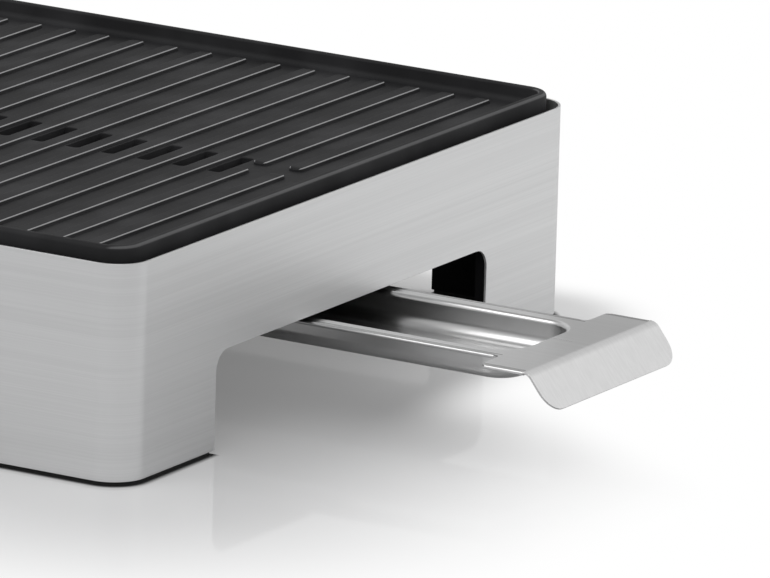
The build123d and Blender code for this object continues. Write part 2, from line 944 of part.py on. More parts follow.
def make_lamp_holder():
    half = holder_size / 2
    back = skirt_inside + holder_depth
    holder = box_between(
        (lamp_offset - half, skirt_inside, control_height - half),
        (lamp_offset + half, back, control_height + half),
    )
    bore = lens_diameter + 2 * lens_clearance
    bore_end = band_front + lens_stem_length + lens_clearance
    return holder - cylinder_along_y(lamp_offset, control_height, bore, skirt_inside, bore_end)


# Thermal fuse and its clamp
def fuse_axis_drop():
    return fuse_diameter / 2 + clamp_clearance


def make_thermal_fuse():
    place = Pos(fuse_x, fuse_y, well_underside - fuse_axis_drop()) * Rot(0, 90, 0)
    body = Cylinder(fuse_diameter / 2, fuse_length)
    wire = Cylinder(fuse_diameter / 8, 2 * fuse_length)
    return place * (body + wire)


def make_fuse_clamp():
    inner = fuse_axis_drop()
    outer = inner + clamp_sheet
    loop = Pos(0, -inner) * Circle(outer) + Pos(0, -inner / 2) * Rectangle(2 * outer, inner)
    hollow = Pos(0, -inner) * Circle(inner) + Pos(0, -inner / 2) * Rectangle(2 * inner, inner)
    feet = Pos(0, -clamp_sheet / 2) * Rectangle(2 * (outer + clamp_foot), clamp_sheet)
    profile = (loop + feet) - hollow - Pos(0, outer / 2) * Rectangle(4 * outer, outer)
    start = Pos(fuse_x - clamp_width / 2, fuse_y, well_underside)
    return start * extrude(Plane.YZ * profile, clamp_width)


# Terminal block, cord gland and internal leads
def block_face_y():
    return partition_outside + (side_room - block_width) / 2


def block_bore_places():
    middle = (block_bores - 1) / 2
    return [block_x + (k - middle) * block_bore_pitch for k in range(block_bores)]


def make_terminal_block():
    face = block_face_y()
    block = box_between(
        (block_x - block_length / 2, face, frame_floor_top),
        (block_x + block_length / 2, face + block_width, frame_floor_top + block_height),
    )
    block = fillet(block.edges().filter_by(Axis.Z), block_edge_radius)
    bore = lead_diameter + lead_clearance
    for x in block_bore_places():
        block -= cylinder_along_y(x, lead_height, bore, face, face + block_width)
    return block


def make_cord_gland():
    face = -band_front
    collar = cylinder_along_y(
        gland_x, gland_height, gland_collar_diameter, face, face + gland_collar_height
    )
    rim = collar.edges().filter_by(GeomType.CIRCLE).sort_by(Axis.Y)[-1]
    collar = fillet(rim, gland_edge_radius)
    back = -skirt_inside - gland_nut_height - gland_tail
    gland = collar + cylinder_along_y(gland_x, gland_height, gland_diameter, back, face)
    end = face + gland_collar_height
    return gland - cylinder_along_y(gland_x, gland_height, gland_bore, back, end)


def make_gland_nut():
    face = -skirt_inside
    bore = gland_diameter + 2 * nut_clearance
    back = face - gland_nut_height
    return hexagon_along_y(gland_x, gland_height, gland_nut_width, bore, back, face)


def element_lead_x():
    return -terminal_half_spacing


def thermostat_lead_x():
    return -terminal_half_spacing + lead_spacing


def make_supply_leads():
    face = block_face_y()
    half = lead_spacing / 2
    ends = (
        (block_x - half, half, element_lead_x(), terminal_y + blade_thickness / 2),
        (block_x + half, -half, thermostat_lead_x(), skirt_inside + thermostat_depth),
    )
    leads = []
    for start_x, shift, end_x, end_y in ends:
        plan = (
            (start_x, face),
            (start_x, lead_run_y + shift),
            (lead_x - half - shift, lead_run_y + shift),
            (lead_x - half - shift, -lead_run_y - shift),
            (end_x, -lead_run_y - shift),
            (end_x, end_y),
        )
        points = [(x, y, lead_height) for x, y in plan]
        leads.append(tube_along(points, lead_bend_radius, lead_diameter))
    return leads


def make_switched_lead():
    start_x = thermostat_length / 2
    end_x = terminal_half_spacing + blade_width / 2
    turn_x = end_x + lead_spacing / 2 + lead_diameter
    start_y = terminal_y - lead_spacing - lead_margin / 2
    plan = ((start_x, start_y), (turn_x, start_y), (turn_x, terminal_y), (end_x, terminal_y))
    points = [(x, y, lead_height) for x, y in plan]
    return tube_along(points, lead_tight_radius, lead_diameter)


# Fasteners
def make_support_screws():
    length = support_seat - pan_top + pan_sheet + screw_bite - frame_wall / 2
    return [
        screw_from_above(x, y, support_seat, length)
        for x, y in four_corners(support_x, support_y)
    ]


def make_leg_screws():
    length = frame_floor_bottom - leg_screw_seat + screw_bite - frame_wall / 2
    return [screw_from_below(x, y, leg_screw_seat, length) for x, y in leg_columns()]


def make_rail_screws():
    seat = frame_floor_bottom - rail_wall
    length = rail_wall + frame_floor_thickness
    return [screw_from_below(x, y, seat, length) for x, y in rail_screw_places()]


def make_nodes():
    nodes = {
        "housing_band": make_housing_band(),
        "base_frame": make_base_frame(),
        "reflector_pan": make_reflector_pan(),
        "drip_chute": make_drip_chute(),
        "grill_plate": make_grill_plate(),
        "heating_element": make_heating_element(),
        "element_beads": make_element_beads(),
        "element_blades": make_element_blades(),
        "element_cradles": make_element_cradles(),
        "drip_tray": make_drip_tray(),
        "tray_rail_left": make_tray_rail(1),
        "tray_rail_right": make_tray_rail(-1),
        "thermostat": make_thermostat(),
        "thermostat_nut": make_thermostat_nut(),
        "thermostat_spindle": make_thermostat_spindle(),
        "control_knob": make_control_knob(),
        "indicator_lens": make_indicator_lens(),
        "lamp_holder": make_lamp_holder(),
        "thermal_fuse": make_thermal_fuse(),
        "fuse_clamp": make_fuse_clamp(),
        "terminal_block": make_terminal_block(),
        "cord_gland": make_cord_gland(),
        "gland_nut": make_gland_nut(),
        "supply_leads": make_supply_leads(),
        "switched_lead": make_switched_lead(),
        "support_screws": make_support_screws(),
        "leg_screws": make_leg_screws(),
        "rail_screws": make_rail_screws(),
    }
    corners = {
        "back_left": (-1, 1),
        "back_right": (1, 1),
        "front_left": (-1, -1),
        "front_right": (1, -1),
    }
    for corner, (sx, sy) in corners.items():
        nodes["leg_lining_" + corner] = make_leg_lining(sx, sy)
        nodes["foot_strip_" + corner] = make_foot_strip(sx, sy)
        nodes["plate_support_" + corner] = make_plate_support(sx * support_x, sy * support_y)
    return nodes


def main():
    os.makedirs("parts", exist_ok=True)
    place = Pos(-whole_middle_x, -whole_middle_y, 0)
    for name, shape in make_nodes().items():
        pieces = shape if isinstance(shape, list) else [shape]
        solids = [place * solid for piece in pieces for solid in piece.solids()]
        part = solids[0] if len(solids) == 1 else Compound(children=solids)
        export_step(part, os.path.join("parts", name + ".step"))


if __name__ == "__main__":
    main()
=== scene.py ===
import json
from math import ceil, cos, pi, radians, sin, tan

import bmesh
import bpy
from mathutils import Matrix, Vector
from mathutils.geometry import tessellate_polygon


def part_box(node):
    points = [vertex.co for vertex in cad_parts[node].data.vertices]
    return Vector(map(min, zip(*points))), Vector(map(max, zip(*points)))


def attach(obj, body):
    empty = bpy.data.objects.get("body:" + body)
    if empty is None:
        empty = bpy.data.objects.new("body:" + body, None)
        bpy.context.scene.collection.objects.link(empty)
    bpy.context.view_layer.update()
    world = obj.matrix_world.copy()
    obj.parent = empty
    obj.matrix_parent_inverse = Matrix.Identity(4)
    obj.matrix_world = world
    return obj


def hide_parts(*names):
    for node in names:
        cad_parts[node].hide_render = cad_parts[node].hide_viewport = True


bl_info = {
    "name": "Electric table grill",
    "version": (1, 0, 0),
    "blender": (4, 5, 0),
    "location": "3D View > Sidebar > Table grill",
    "description": "Dresses the packed parts of an electric table grill",
    "category": "Object",
}

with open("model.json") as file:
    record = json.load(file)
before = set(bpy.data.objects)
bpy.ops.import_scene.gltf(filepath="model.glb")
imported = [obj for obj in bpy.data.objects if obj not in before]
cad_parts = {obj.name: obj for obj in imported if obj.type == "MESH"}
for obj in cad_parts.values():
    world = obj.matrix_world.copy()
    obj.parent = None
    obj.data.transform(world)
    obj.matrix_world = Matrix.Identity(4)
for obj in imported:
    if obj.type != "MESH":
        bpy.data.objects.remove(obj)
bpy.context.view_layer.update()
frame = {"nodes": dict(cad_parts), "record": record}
BAND_LOW, BAND_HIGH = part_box("housing_band")
BAND_SIZE = BAND_HIGH - BAND_LOW
MIDDLE = Vector(((BAND_LOW.x + BAND_HIGH.x) / 2, (BAND_LOW.y + BAND_HIGH.y) / 2, 0))
SLOT_OF_NODE = {part["node"]: part["material_slot"] for part in frame["record"]["subparts"]}
WHITE = (1.0, 1.0, 1.0, 1.0)


# Sizes and colours


def size(name, description, millimetres):
    """A length that a user can change. Blender keeps it in metres."""
    return bpy.props.FloatProperty(
        name=name, description=description, default=millimetres / 1000, unit="LENGTH", precision=5
    )


def turn(name, description, degrees):
    return bpy.props.FloatProperty(
        name=name, description=description, default=radians(degrees), subtype="ANGLE"
    )


def count(name, description, number):
    return bpy.props.IntProperty(name=name, description=description, default=number, min=1)


def amount(name, description, value):
    return bpy.props.FloatProperty(name=name, description=description, default=value, precision=3)


def direction(name, description, *along):
    return bpy.props.FloatVectorProperty(name=name, description=description, default=along)


def colour(name, description, red, green, blue):
    return bpy.props.FloatVectorProperty(
        name=name, description=description, default=(red, green, blue), subtype="COLOR", size=3
    )


class HousingSizes(bpy.types.PropertyGroup):
    wall: size("Wall", "Thickness of the folded sheet", 1.0)
    corner_radius: size("Corner radius", "Radius of the upright corners", 14.0)
    edge_radius: size("Edge radius", "Rounding of the sheet's cut edges", 0.28)
    end_opening: size("End opening", "Width of the opening in each short end", 201.0)
    side_leg: size("Side leg", "Width left beside the opening in each long side", 60.0)
    opening_top: size("Opening top", "Height of the openings above the table", 40.0)
    opening_radius: size("Opening radius", "Radius of the openings' upper corners", 8.0)
    corner_steps: count("Corner steps", "Faces round each upright corner", 14)


class PlateSizes(bpy.types.PropertyGroup):
    corner_radius: size("Corner radius", "Radius of the plate's corners", 11.0)
    underside: size("Underside", "Height of the flat underside", 79.9)
    floor_top: size("Floor", "Height of the cooking floor", 84.8)
    rim_width: size("Rim width", "Width of the raised rim", 3.5)
    rim_outer_radius: size("Rim outer radius", "Rounding on the outside of the rim", 1.8)
    rim_inner_radius: size("Rim inner radius", "Rounding on the inside of the rim", 1.0)
    rim_foot_radius: size("Rim foot radius", "Fillet where the rim meets the floor", 2.5)
    belly_radius: size("Belly radius", "Rounding under the plate's edge", 4.0)
    rib_count: count("Ribs", "Number of ribs along the plate", 30)
    rib_pitch: size("Rib pitch", "Distance from rib to rib", 16.18)
    rib_width: size("Rib width", "Width of a rib at its foot", 6.6)
    rib_height: size("Rib height", "Height of a rib above the floor", 1.5)
    rib_draft: turn("Rib draft", "Slope of a rib's sides from upright", 15.0)
    rib_crown: size("Rib crown", "Rounding along a rib's top edges", 0.68)
    rib_end_margin: size("Rib end margin", "Space between a rib's end and the rim", 7.0)
    rib_nose: size("Rib nose", "Length over which a rib's end falls away", 1.6)
    broken_ribs: count("Broken ribs", "Ribs at each end that are in two halves", 2)
    broken_gap: size("Gap in broken ribs", "Space between the halves", 11.0)
    slot_width: size("Slot width", "Width of a drain slot", 6.0)
    slot_length: size("Slot length", "Length of a drain slot", 26.4)
    slot_radius: size("Slot corner radius", "Radius of a slot's corners", 1.5)
    slot_edge: size("Slot edge", "Rounding round the top of a slot", 0.5)
    slot_rib_gap: size("Slot gap", "Space between a slot and its rib", 0.4)
    collar_gap: size("Collar gap", "Space between the slots and the drip collar", 3.0)
    collar_wall: size("Collar wall", "Thickness of the drip collar", 3.0)
    collar_height: size("Collar height", "Reach of the drip collar below the plate", 5.5)
    support_inset: size("Support inset", "Distance of the supports from the plate's edge", 26.0)
    socket_inner: size("Socket bore", "Bore of the sockets over the supports", 16.0)
    socket_outer: size("Socket diameter", "Outside of the sockets", 22.0)
    socket_depth: size("Socket depth", "Reach of the sockets below the plate", 3.6)


class TraySizes(bpy.types.PropertyGroup):
    sheet: size("Sheet", "Thickness of the tray's sheet", 0.8)
    flange_top: size("Flange height", "Height of the flange's top", 38.0)
    flange_width: size("Flange width", "Width over the flanges", 67.0)
    basin_width: size("Basin width", "Width inside the basin", 50.0)
    basin_depth: size("Basin depth", "Depth of the basin below the flange", 12.2)
    basin_radius: size("Basin corner radius", "Radius of the basin's corners in plan", 13.0)
    bottom_radius: size("Bottom radius", "Rounding round the basin's floor", 5.2)
    edge_radius: size("Edge radius", "Rounding where the flange turns down", 2.0)
    hem_width: size("Hem width", "Width of the hem folded under the flange", 3.2)
    tail: size("Tail", "Distance of the tray's inner end behind the middle", 140.5)
    tail_land: size("Tail land", "Flange between the tail and the basin", 8.0)
    tail_radius: size("Tail radius", "Radius of the tail's corners", 5.0)
    basin_front: size("Basin front", "Distance of the basin's front from the middle", 352.1)
    step: size("Step", "Where the flange widens into the handle", 351.5)
    step_radius: size("Step radius", "Radius of the corners at the step", 2.0)
    handle_width: size("Handle width", "Width of the handle", 97.0)
    handle_flat: size("Handle flat", "Flat length before the handle bends down", 19.0)
    bend_radius: size("Bend radius", "Radius of the handle's bend", 5.0)
    lip_angle: turn("Lip angle", "Angle of the lip below level", 52.0)
    lip_length: size("Lip length", "Straight length of the lip", 15.3)
    tip_radius: size("Tip radius", "Radius of the lip's two corners", 9.0)
    cut_edge: size("Cut edge", "Rounding of the sheet's cut edges", 0.2)


class ControlSizes(bpy.types.PropertyGroup):
    height: size("Height", "Height of the controls above the table", 61.0)
    knob_diameter: size("Knob diameter", "Diameter of the knob at its back", 36.0)
    knob_depth: size("Knob depth", "Depth of the knob", 16.0)
    knob_gap: size("Knob gap", "Space between the knob and the housing", 1.0)
    knob_draft: turn("Knob draft", "Taper of the knob's side", 2.0)
    knob_edge: size("Knob edge", "Rounding round the knob's face", 1.5)
    knob_recess: size("Knob recess", "Diameter of the hollow in the knob's back", 22.0)
    recess_depth: size("Recess depth", "Depth of the hollow in the knob's back", 4.0)
    flutes: count("Flutes", "Grip flutes round the knob", 36)
    flute_depth: size("Flute depth", "Depth of a grip flute", 0.45)
    pointer_width: size("Pointer width", "Width of the pale pointer", 1.9)
    pointer_length: size("Pointer length", "Length of the pale pointer", 9.0)
    pointer_depth: size("Pointer depth", "How far the pointer reaches into the knob", 0.8)
    spindle_bore: size("Spindle bore", "Bore of the knob round its spindle", 6.8)
    spindle_hole: size("Spindle hole", "Hole in the housing round the spindle", 9.4)
    mark_radius: size("Scale radius", "Radius of the ring of marks round the knob", 22.5)
    marks: count("Marks", "Marks round the knob", 10)
    mark_size: size("Mark size", "Diameter of the largest mark", 1.9)
    sweep: turn("Sweep", "Turn of the knob from off to full heat", 270.0)
    lamp_offset: size("Lamp offset", "Distance of the lamp beside the knob", 44.0)
    lens_diameter: size("Lens diameter", "Diameter of the lens's head", 9.0)
    lens_height: size("Lens height", "How far the lens stands proud", 1.2)
    lens_stem: size("Lens stem", "Diameter of the lens behind the sheet", 7.0)
    lens_reach: size("Lens reach", "Reach of the lens behind the sheet", 9.0)
    lens_play: size("Lens play", "How much wider the lens's hole is", 0.2)
    gland_share: amount("Gland hole share", "Hole for the gland over the height of its nut", 0.7)
    gland_hole: size("Gland hole", "Largest hole in the housing for the gland", 12.3)


class ScrewSizes(bpy.types.PropertyGroup):
    head_diameter: size("Head diameter", "Diameter of a pan head", 7.0)
    head_height: size("Head height", "Height of a pan head", 2.2)
    shank_diameter: size("Shank diameter", "Diameter over the thread", 3.6)
    thread_depth: size("Thread depth", "Depth of the thread", 0.35)
    thread_pitch: size("Thread pitch", "Distance from thread to thread", 1.4)
    cross_width: size("Cross width", "Width of the cross recess's arms", 0.9)
    cross_reach: size("Cross reach", "Span of the cross recess", 4.0)
    cross_depth: size("Cross depth", "Depth of the cross recess", 1.3)


class FinishColours(bpy.types.PropertyGroup):
    steel: colour("Steel", "Brushed steel of the housing", 0.685, 0.688, 0.69)
    tray: colour("Tray steel", "Satin steel of the drip tray", 0.63, 0.63, 0.63)
    coating: colour("Coating", "Non-stick coating of the plate", 0.019, 0.019, 0.020)
    # Painted highlight: a paler coating colour on the rib crowns and rim edges, standing in for
    # light caught there
    coating_edge: colour("Coated edges", "Coating where it thins over an edge", 0.38, 0.38, 0.385)
    moulding: colour("Moulding", "Black leg linings and base frame", 0.006, 0.006, 0.0065)
    rubber: colour("Rubber", "Foot strips", 0.018, 0.018, 0.018)
    bright: colour("Bright sheet", "Aluminised sheet of the pan and rails", 0.46, 0.47, 0.48)
    sheath: colour("Sheath", "Oxidised sheath of the heating element", 0.085, 0.078, 0.072)
    plated: colour("Plated steel", "Zinc plated fasteners", 0.64, 0.64, 0.62)
    ceramic: colour("Ceramic", "Unglazed insulators", 0.78, 0.76, 0.70)
    control: colour("Control plastic", "Knob and gland", 0.022, 0.022, 0.023)
    pale: colour("Pale plastic", "Thermostat body, holders and pointer", 0.72, 0.71, 0.66)
    lens: colour("Lens", "Indicator lens", 0.62, 0.06, 0.012)
    sleeve: colour("Sleeve", "Silicone sleeves of the leads", 0.70, 0.69, 0.64)


class StageSizes(bpy.types.PropertyGroup):
    camera_place: direction("Camera place", "Where it stands", 2.632934, -4.052537, 1.264286)
    camera_right: direction("Camera right", "Along the picture's width", 0.85575, 0.51665, 0.02748)
    camera_back: direction("Camera back", "Away from the view", 0.49457, -0.83246, 0.24982)
    lens: amount("Lens", "Focal length in millimetres", 592.16)
    sensor: amount("Sensor", "Width of the camera's sensor in millimetres", 36.0)
    floor_reach: size("Floor reach", "Half the side of the floor", 12000.0)
    floor_colour: colour("Floor", "Colour of the table top", 0.86, 0.86, 0.86)
    floor_shade: colour("Floor in front", "Colour of the table top at the front", 0.56, 0.56, 0.565)
    floor_gloss: amount("Floor gloss", "Share of the floor's light that is mirrored", 0.16)
    # Painted light: a share of plain white glowing through the table's shade under the grill
    floor_lift: amount("Floor lift", "Share of plain white under the grill", 0.18)
    fade_start: size("Fade start", "Where the table begins to fade to white", 24.0)
    fade_end: size("Fade end", "Where the table is all white", 190.0)
    # Painted shadow: a dark line on the table round the feet of the legs
    contact_reach: size("Contact reach", "Reach of the dark line round the legs", 3.2)
    contact_dark: amount("Contact", "How dark the line round the legs is", 0.92)
    sky: amount("Sky", "Strength of the light from all round", 0.80)
    wall_x: amount("Dark wall along X", "X of the direction of the room's dark wall", -0.51)
    wall_y: amount("Dark wall along Y", "Y of the direction of the room's dark wall", 0.86)
    ceiling_dark: amount("Dark ceiling", "How dark the ceiling is in reflections", 0.60)
    wall_dark: amount("Dark wall", "How dark the wall is in reflections", 0.64)
    key: amount("Key light", "Power of the large lamp over the front left, in watts", 18.0)
    key_place: direction("Key place", "Where the large lamp hangs", -0.9, -1.5, 2.2)
    fill: amount("Fill light", "Power of the lamp on the right, in watts", 4.0)
    fill_place: direction("Fill place", "Where the lamp on the right hangs", 2.0, 1.2, 1.4)


class GrillSettings(bpy.types.PropertyGroup):
    housing: bpy.props.PointerProperty(type=HousingSizes)
    plate: bpy.props.PointerProperty(type=PlateSizes)
    tray: bpy.props.PointerProperty(type=TraySizes)
    control: bpy.props.PointerProperty(type=ControlSizes)
    screw: bpy.props.PointerProperty(type=ScrewSizes)
    finish: bpy.props.PointerProperty(type=FinishColours)
    stage: bpy.props.PointerProperty(type=StageSizes)


# Node trees written as expressions


class Value:
    """A socket of a node tree that can be used in sums."""

    def __init__(self, nodes, socket):
        self.nodes, self.socket = nodes, socket

    def __add__(self, other):
        return self.nodes.maths("ADD", self, other)

    def __sub__(self, other):
        return self.nodes.maths("SUBTRACT", self, other)

    def __rsub__(self, other):
        return self.nodes.maths("SUBTRACT", other, self)

    def __mul__(self, other):
        return self.nodes.maths("MULTIPLY", self, other)

    def __truediv__(self, other):
        return self.nodes.maths("DIVIDE", self, other)

    def __gt__(self, other):
        return self.nodes.maths("GREATER_THAN", self, other)

    def __lt__(self, other):
        return self.nodes.maths("LESS_THAN", self, other)

    def __abs__(self):
        return self.nodes.maths("ABSOLUTE", self)

    __radd__ = __add__
    __rmul__ = __mul__

    def sine(self):
        return self.nodes.maths("SINE", self)

    def root(self):
        return self.nodes.maths("SQRT", self)

    def least(self, other):
        return self.nodes.maths("MINIMUM", self, other)

    def most(self, other):
        return self.nodes.maths("MAXIMUM", self, other)

    def eased(self, low, high):
        """0 below low, 1 above high and smooth between."""
        settings = {"interpolation_type": "SMOOTHSTEP"}
        inputs = {"Value": self, "From Min": low, "From Max": high}
        return self.nodes.node("ShaderNodeMapRange", settings, inputs)


class Nodes:
    """Adds nodes to one tree."""

    def __init__(self, tree):
        self.tree = tree

    def node(self, kind, settings=None, inputs=None, output=0):
        """Adds a node, sets it, fills its sockets and returns one output."""
        made = self.tree.nodes.new(kind)
        for setting, value in (settings or {}).items():
            setattr(made, setting, value)
        for name, value in (inputs or {}).items():
            self.feed(made, name, value)
        if isinstance(output, str):
            return Value(self, made.outputs[output])
        outputs = [socket for socket in made.outputs if socket.enabled]
        return Value(self, outputs[output]) if outputs else None

    def feed(self, made, name, value):
        by_name = [s for s in made.inputs if s.identifier == name]
        socket = by_name[0] if by_name else made.inputs[name]
        for item in value if isinstance(value, list) else [value]:
            if isinstance(item, Value):
                self.tree.links.new(item.socket, socket)
            else:
                socket.default_value = item

    def maths(self, operation, first, second=None):
        inputs = {"Value": first}
        if second is not None:
            inputs["Value_001"] = second
        return self.node("ShaderNodeMath", {"operation": operation}, inputs)

    def vector(self, x=0.0, y=0.0, z=0.0):
        return self.node("ShaderNodeCombineXYZ", None, {"X": x, "Y": y, "Z": z})

    def ray_is(self, kind):
        """1 for light rays of a kind, such as Camera, and 0 for the others."""
        return self.node("ShaderNodeLightPath", None, {}, f"Is {kind} Ray")

    def parts(self, vector):
        made = self.node("ShaderNodeSeparateXYZ", None, {"Vector": vector}).socket.node
        return [Value(self, socket) for socket in made.outputs]


class Finish(Nodes):
    """A material of the grill and the nodes behind it."""

    def __init__(self, name):
        self.material = bpy.data.materials.new(name + "_finish")
        self.material.use_nodes = True
        self.material.node_tree.nodes.clear()
        super().__init__(self.material.node_tree)

    def place(self):
        """Distance along X, Y and Z on the object, in metres."""
        return self.parts(self.node("ShaderNodeTexCoord", None, {}, "Object"))

    def noise(self, x, y, z, detail=2.0, roughness=0.5):
        inputs = {"Vector": self.vector(x, y, z), "Scale": 1.0, "Detail": detail}
        return self.node("ShaderNodeTexNoise", None, {**inputs, "Roughness": roughness})

    def speckle(self, per_metre, detail=2.0, roughness=0.5):
        """Noise with as many grains to the metre in every direction."""
        x, y, z = self.place()
        return self.noise(x * per_metre, y * per_metre, z * per_metre, detail, roughness)

    def blend(self, factor, first, second):
        """One colour turning into another."""
        first = first if isinstance(first, Value) else (*first[:3], 1.0)
        second = second if isinstance(second, Value) else (*second[:3], 1.0)
        inputs = {"Factor_Float": factor, "A_Color": first, "B_Color": second}
        return self.node("ShaderNodeMix", {"data_type": "RGBA"}, inputs)

    def shades(self, factor, tint, low, high, lift=0.0):
        """A tint made darker or paler by two factors, turning from one to the other."""
        first = [channel * low for channel in tint]
        second = [min(channel * high + lift, 1.0) for channel in tint]
        return self.blend(factor, first, second)

    def bump(self, height, distance, strength=1.0):
        inputs = {"Height": height, "Distance": distance, "Strength": strength}
        return self.node("ShaderNodeBump", None, inputs)

    def surface(self, **inputs):
        """Ends the material in a Principled shader."""
        named = {name.replace("_", " ").title(): value for name, value in inputs.items()}
        named = {name.replace("Ior", "IOR"): value for name, value in named.items()}
        shader = self.node("ShaderNodeBsdfPrincipled", None, named)
        self.node("ShaderNodeOutputMaterial", None, {"Surface": shader})


class Pattern(Nodes):
    """A Geometry Nodes tree with named inputs, ending in one material."""

    KINDS = {float: "NodeSocketFloat", int: "NodeSocketInt"}

    def __init__(self, name, **given):
        super().__init__(bpy.data.node_groups.new(name, "GeometryNodeTree"))
        self.given = given
        face = self.tree.interface
        face.new_socket("Geometry", in_out="OUTPUT", socket_type="NodeSocketGeometry")
        self.identifiers = {}
        for label, value in given.items():
            kind = self.KINDS.get(type(value)) or "NodeSocket" + type(value).__name__
            socket = face.new_socket(label.replace("_", " "), in_out="INPUT", socket_type=kind)
            self.identifiers[label] = socket.identifier
        self.entry = self.tree.nodes.new("NodeGroupInput")

    def __getitem__(self, label):
        wanted = self.identifiers[label]
        return Value(self, next(s for s in self.entry.outputs if s.identifier == wanted))

    def moved(self, geometry, **changes):
        """Geometry after a Translation or a Rotation."""
        return self.node("GeometryNodeTransform", None, {"Geometry": geometry, **changes})

    def mesh(self, geometry):
        """Ends the tree, runs it once and returns a plain mesh."""
        geometry = self.node("GeometryNodeRealizeInstances", None, {"Geometry": geometry})
        inputs = {"Geometry": geometry, "Material": self["material"]}
        geometry = self.node("GeometryNodeSetMaterial", None, inputs)
        self.node("NodeGroupOutput", None, {"Geometry": geometry})
        carrier = bpy.data.objects.new(self.tree.name, bpy.data.meshes.new(self.tree.name))
        bpy.context.scene.collection.objects.link(carrier)
        modifier = carrier.modifiers.new("Pattern", "NODES")
        modifier.node_group = self.tree
        for label, value in self.given.items():
            modifier[self.identifiers[label]] = value
        made = plain_mesh(carrier)
        bpy.data.objects.remove(carrier)
        if not made.polygons:
            raise RuntimeError(f"the pattern {self.tree.name} made no faces")
        outward = bmesh.new()
        outward.from_mesh(made)
        bmesh.ops.recalc_face_normals(outward, faces=outward.faces)
        outward.to_mesh(made)
        outward.free()
        return made


# Drawing meshes, in metres about the housing's centre


class Skin:
    """Points and faces of one piece while it is drawn."""

    def __init__(self):
        self.points = []
        self.faces = []

    def ring(self, points):
        first = len(self.points)
        self.points.extend(Vector(point) for point in points)
        return list(range(first, len(self.points)))

    def loft(self, rings, closed=True):
        for lower, upper in zip(rings, rings[1:]):
            number = len(lower)
            for near in range(number if closed else number - 1):
                far = (near + 1) % number
                self.faces.append((lower[near], lower[far], upper[far], upper[near]))

    def fill(self, loops, facing):
        """Flat triangles between an outline and its holes, facing one way."""
        order = [index for loop in loops for index in loop]
        facing = Vector(facing)
        shapes = [[self.points[index] for index in loop] for loop in loops]
        for corners in tessellate_polygon(shapes):
            a, b, c = (order[corner] for corner in corners)
            across = self.points[b] - self.points[a]
            normal = across.cross(self.points[c] - self.points[a])
            self.faces.append((a, b, c) if normal.dot(facing) > 0 else (a, c, b))

    def solid(self, rings, facing):
        """A loft with both ends filled, the last one facing this way."""
        self.loft(rings)
        self.fill([rings[-1]], facing)
        self.fill([rings[0]], [-part for part in facing])

    def mesh(self, name, weld=1e-6):
        made = bpy.data.meshes.new(name)
        made.from_pydata([tuple(point) for point in self.points], [], self.faces)
        tidy = bmesh.new()
        tidy.from_mesh(made)
        bmesh.ops.remove_doubles(tidy, verts=tidy.verts, dist=weld)
        bmesh.ops.dissolve_limit(
            tidy, angle_limit=radians(0.2), verts=tidy.verts, edges=tidy.edges
        )
        tidy.to_mesh(made)
        tidy.free()
        return made


def rounded_ring(length, width, radius, height, steps=10, middle=(0.0, 0.0)):
    """Points round a rounded rectangle, anticlockwise from above."""
    points = []
    for quarter, (sx, sy) in enumerate(((1, 1), (-1, 1), (-1, -1), (1, -1))):
        x = middle[0] + sx * (length / 2 - radius)
        y = middle[1] + sy * (width / 2 - radius)
        for step in range(steps + 1):
            angle = pi / 2 * (quarter + step / steps)
            points.append((x + radius * cos(angle), y + radius * sin(angle), height))
    return points


def rounded_corners(corners, steps=8):
    """Points along a closed outline whose corners (x, y, radius) are rounded."""
    points = []
    for number, (x, y, radius) in enumerate(corners):
        here = Vector((x, y))
        if not radius:
            points.append((x, y))
            continue
        before = (Vector(corners[number - 1][:2]) - here).normalized()
        after = (Vector(corners[(number + 1) % len(corners)][:2]) - here).normalized()
        half = before.angle(after) / 2
        centre = here + (before + after).normalized() * radius / sin(half)
        start = here + before * radius / tan(half) - centre
        end = here + after * radius / tan(half) - centre
        whole = start.angle(end)
        for step in range(steps + 1):
            part = step / steps
            mix = start * sin((1 - part) * whole) + end * sin(part * whole)
            points.append(tuple(centre + mix / sin(whole)))
    return points


def quarter_turn(steps, start=0.0, end=90.0):
    """Cosine and sine at even steps of an arc."""
    for step in range(steps + 1):
        angle = radians(start + (end - start) * step / steps)
        yield cos(angle), sin(angle)


def plain_mesh(obj):
    """The object's mesh with its modifiers applied."""
    bpy.context.view_layer.update()
    seen = obj.evaluated_get(bpy.context.evaluated_depsgraph_get())
    made = bpy.data.meshes.new_from_object(seen)
    obj.modifiers.clear()
    return made


def folded(mesh, thickness=0.0, edge=0.0, limit=50.0, segments=2):
    """Gives a sheet its thickness inwards and rounds its sharp edges."""
    carrier = bpy.data.objects.new(mesh.name, mesh)
    bpy.context.scene.collection.objects.link(carrier)
    if thickness:
        wall = carrier.modifiers.new("Wall", "SOLIDIFY")
        wall.thickness = thickness
        wall.offset = -1.0
        wall.use_even_offset = True
    if edge:
        rounding = carrier.modifiers.new("Edges", "BEVEL")
        rounding.width = edge
        rounding.segments = segments
        rounding.limit_method = "ANGLE"
        rounding.angle_limit = radians(limit)
        rounding.harden_normals = True
    made = plain_mesh(carrier)
    bpy.data.objects.remove(carrier)
    return made


def joined(name, meshes):
    whole = bmesh.new()
    for mesh in meshes:
        whole.from_mesh(mesh)
    made = bpy.data.meshes.new(name)
    whole.to_mesh(made)
    whole.free()
    return made


def finish(slot):
    return bpy.data.materials[slot + "_finish"]


def add_piece(name, mesh, body, slot, replaced=(), crease=38.0):
    """Puts a drawn mesh in its place, on its body and in its slot's finish."""
    mesh.transform(Matrix.Translation(MIDDLE))
    mesh.materials.clear()
    mesh.materials.append(finish(slot))
    mesh.shade_smooth()
    mesh.set_sharp_from_angle(angle=radians(crease))
    obj = bpy.data.objects.new(name, mesh)
    bpy.context.scene.collection.objects.link(obj)
    level = obj.modifiers.new("Level faces", "WEIGHTED_NORMAL")
    level.mode = "FACE_AREA"
    level.keep_sharp = True
    obj.data = plain_mesh(obj)
    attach(obj, body)
    if replaced:
        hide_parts(*replaced)
    return obj


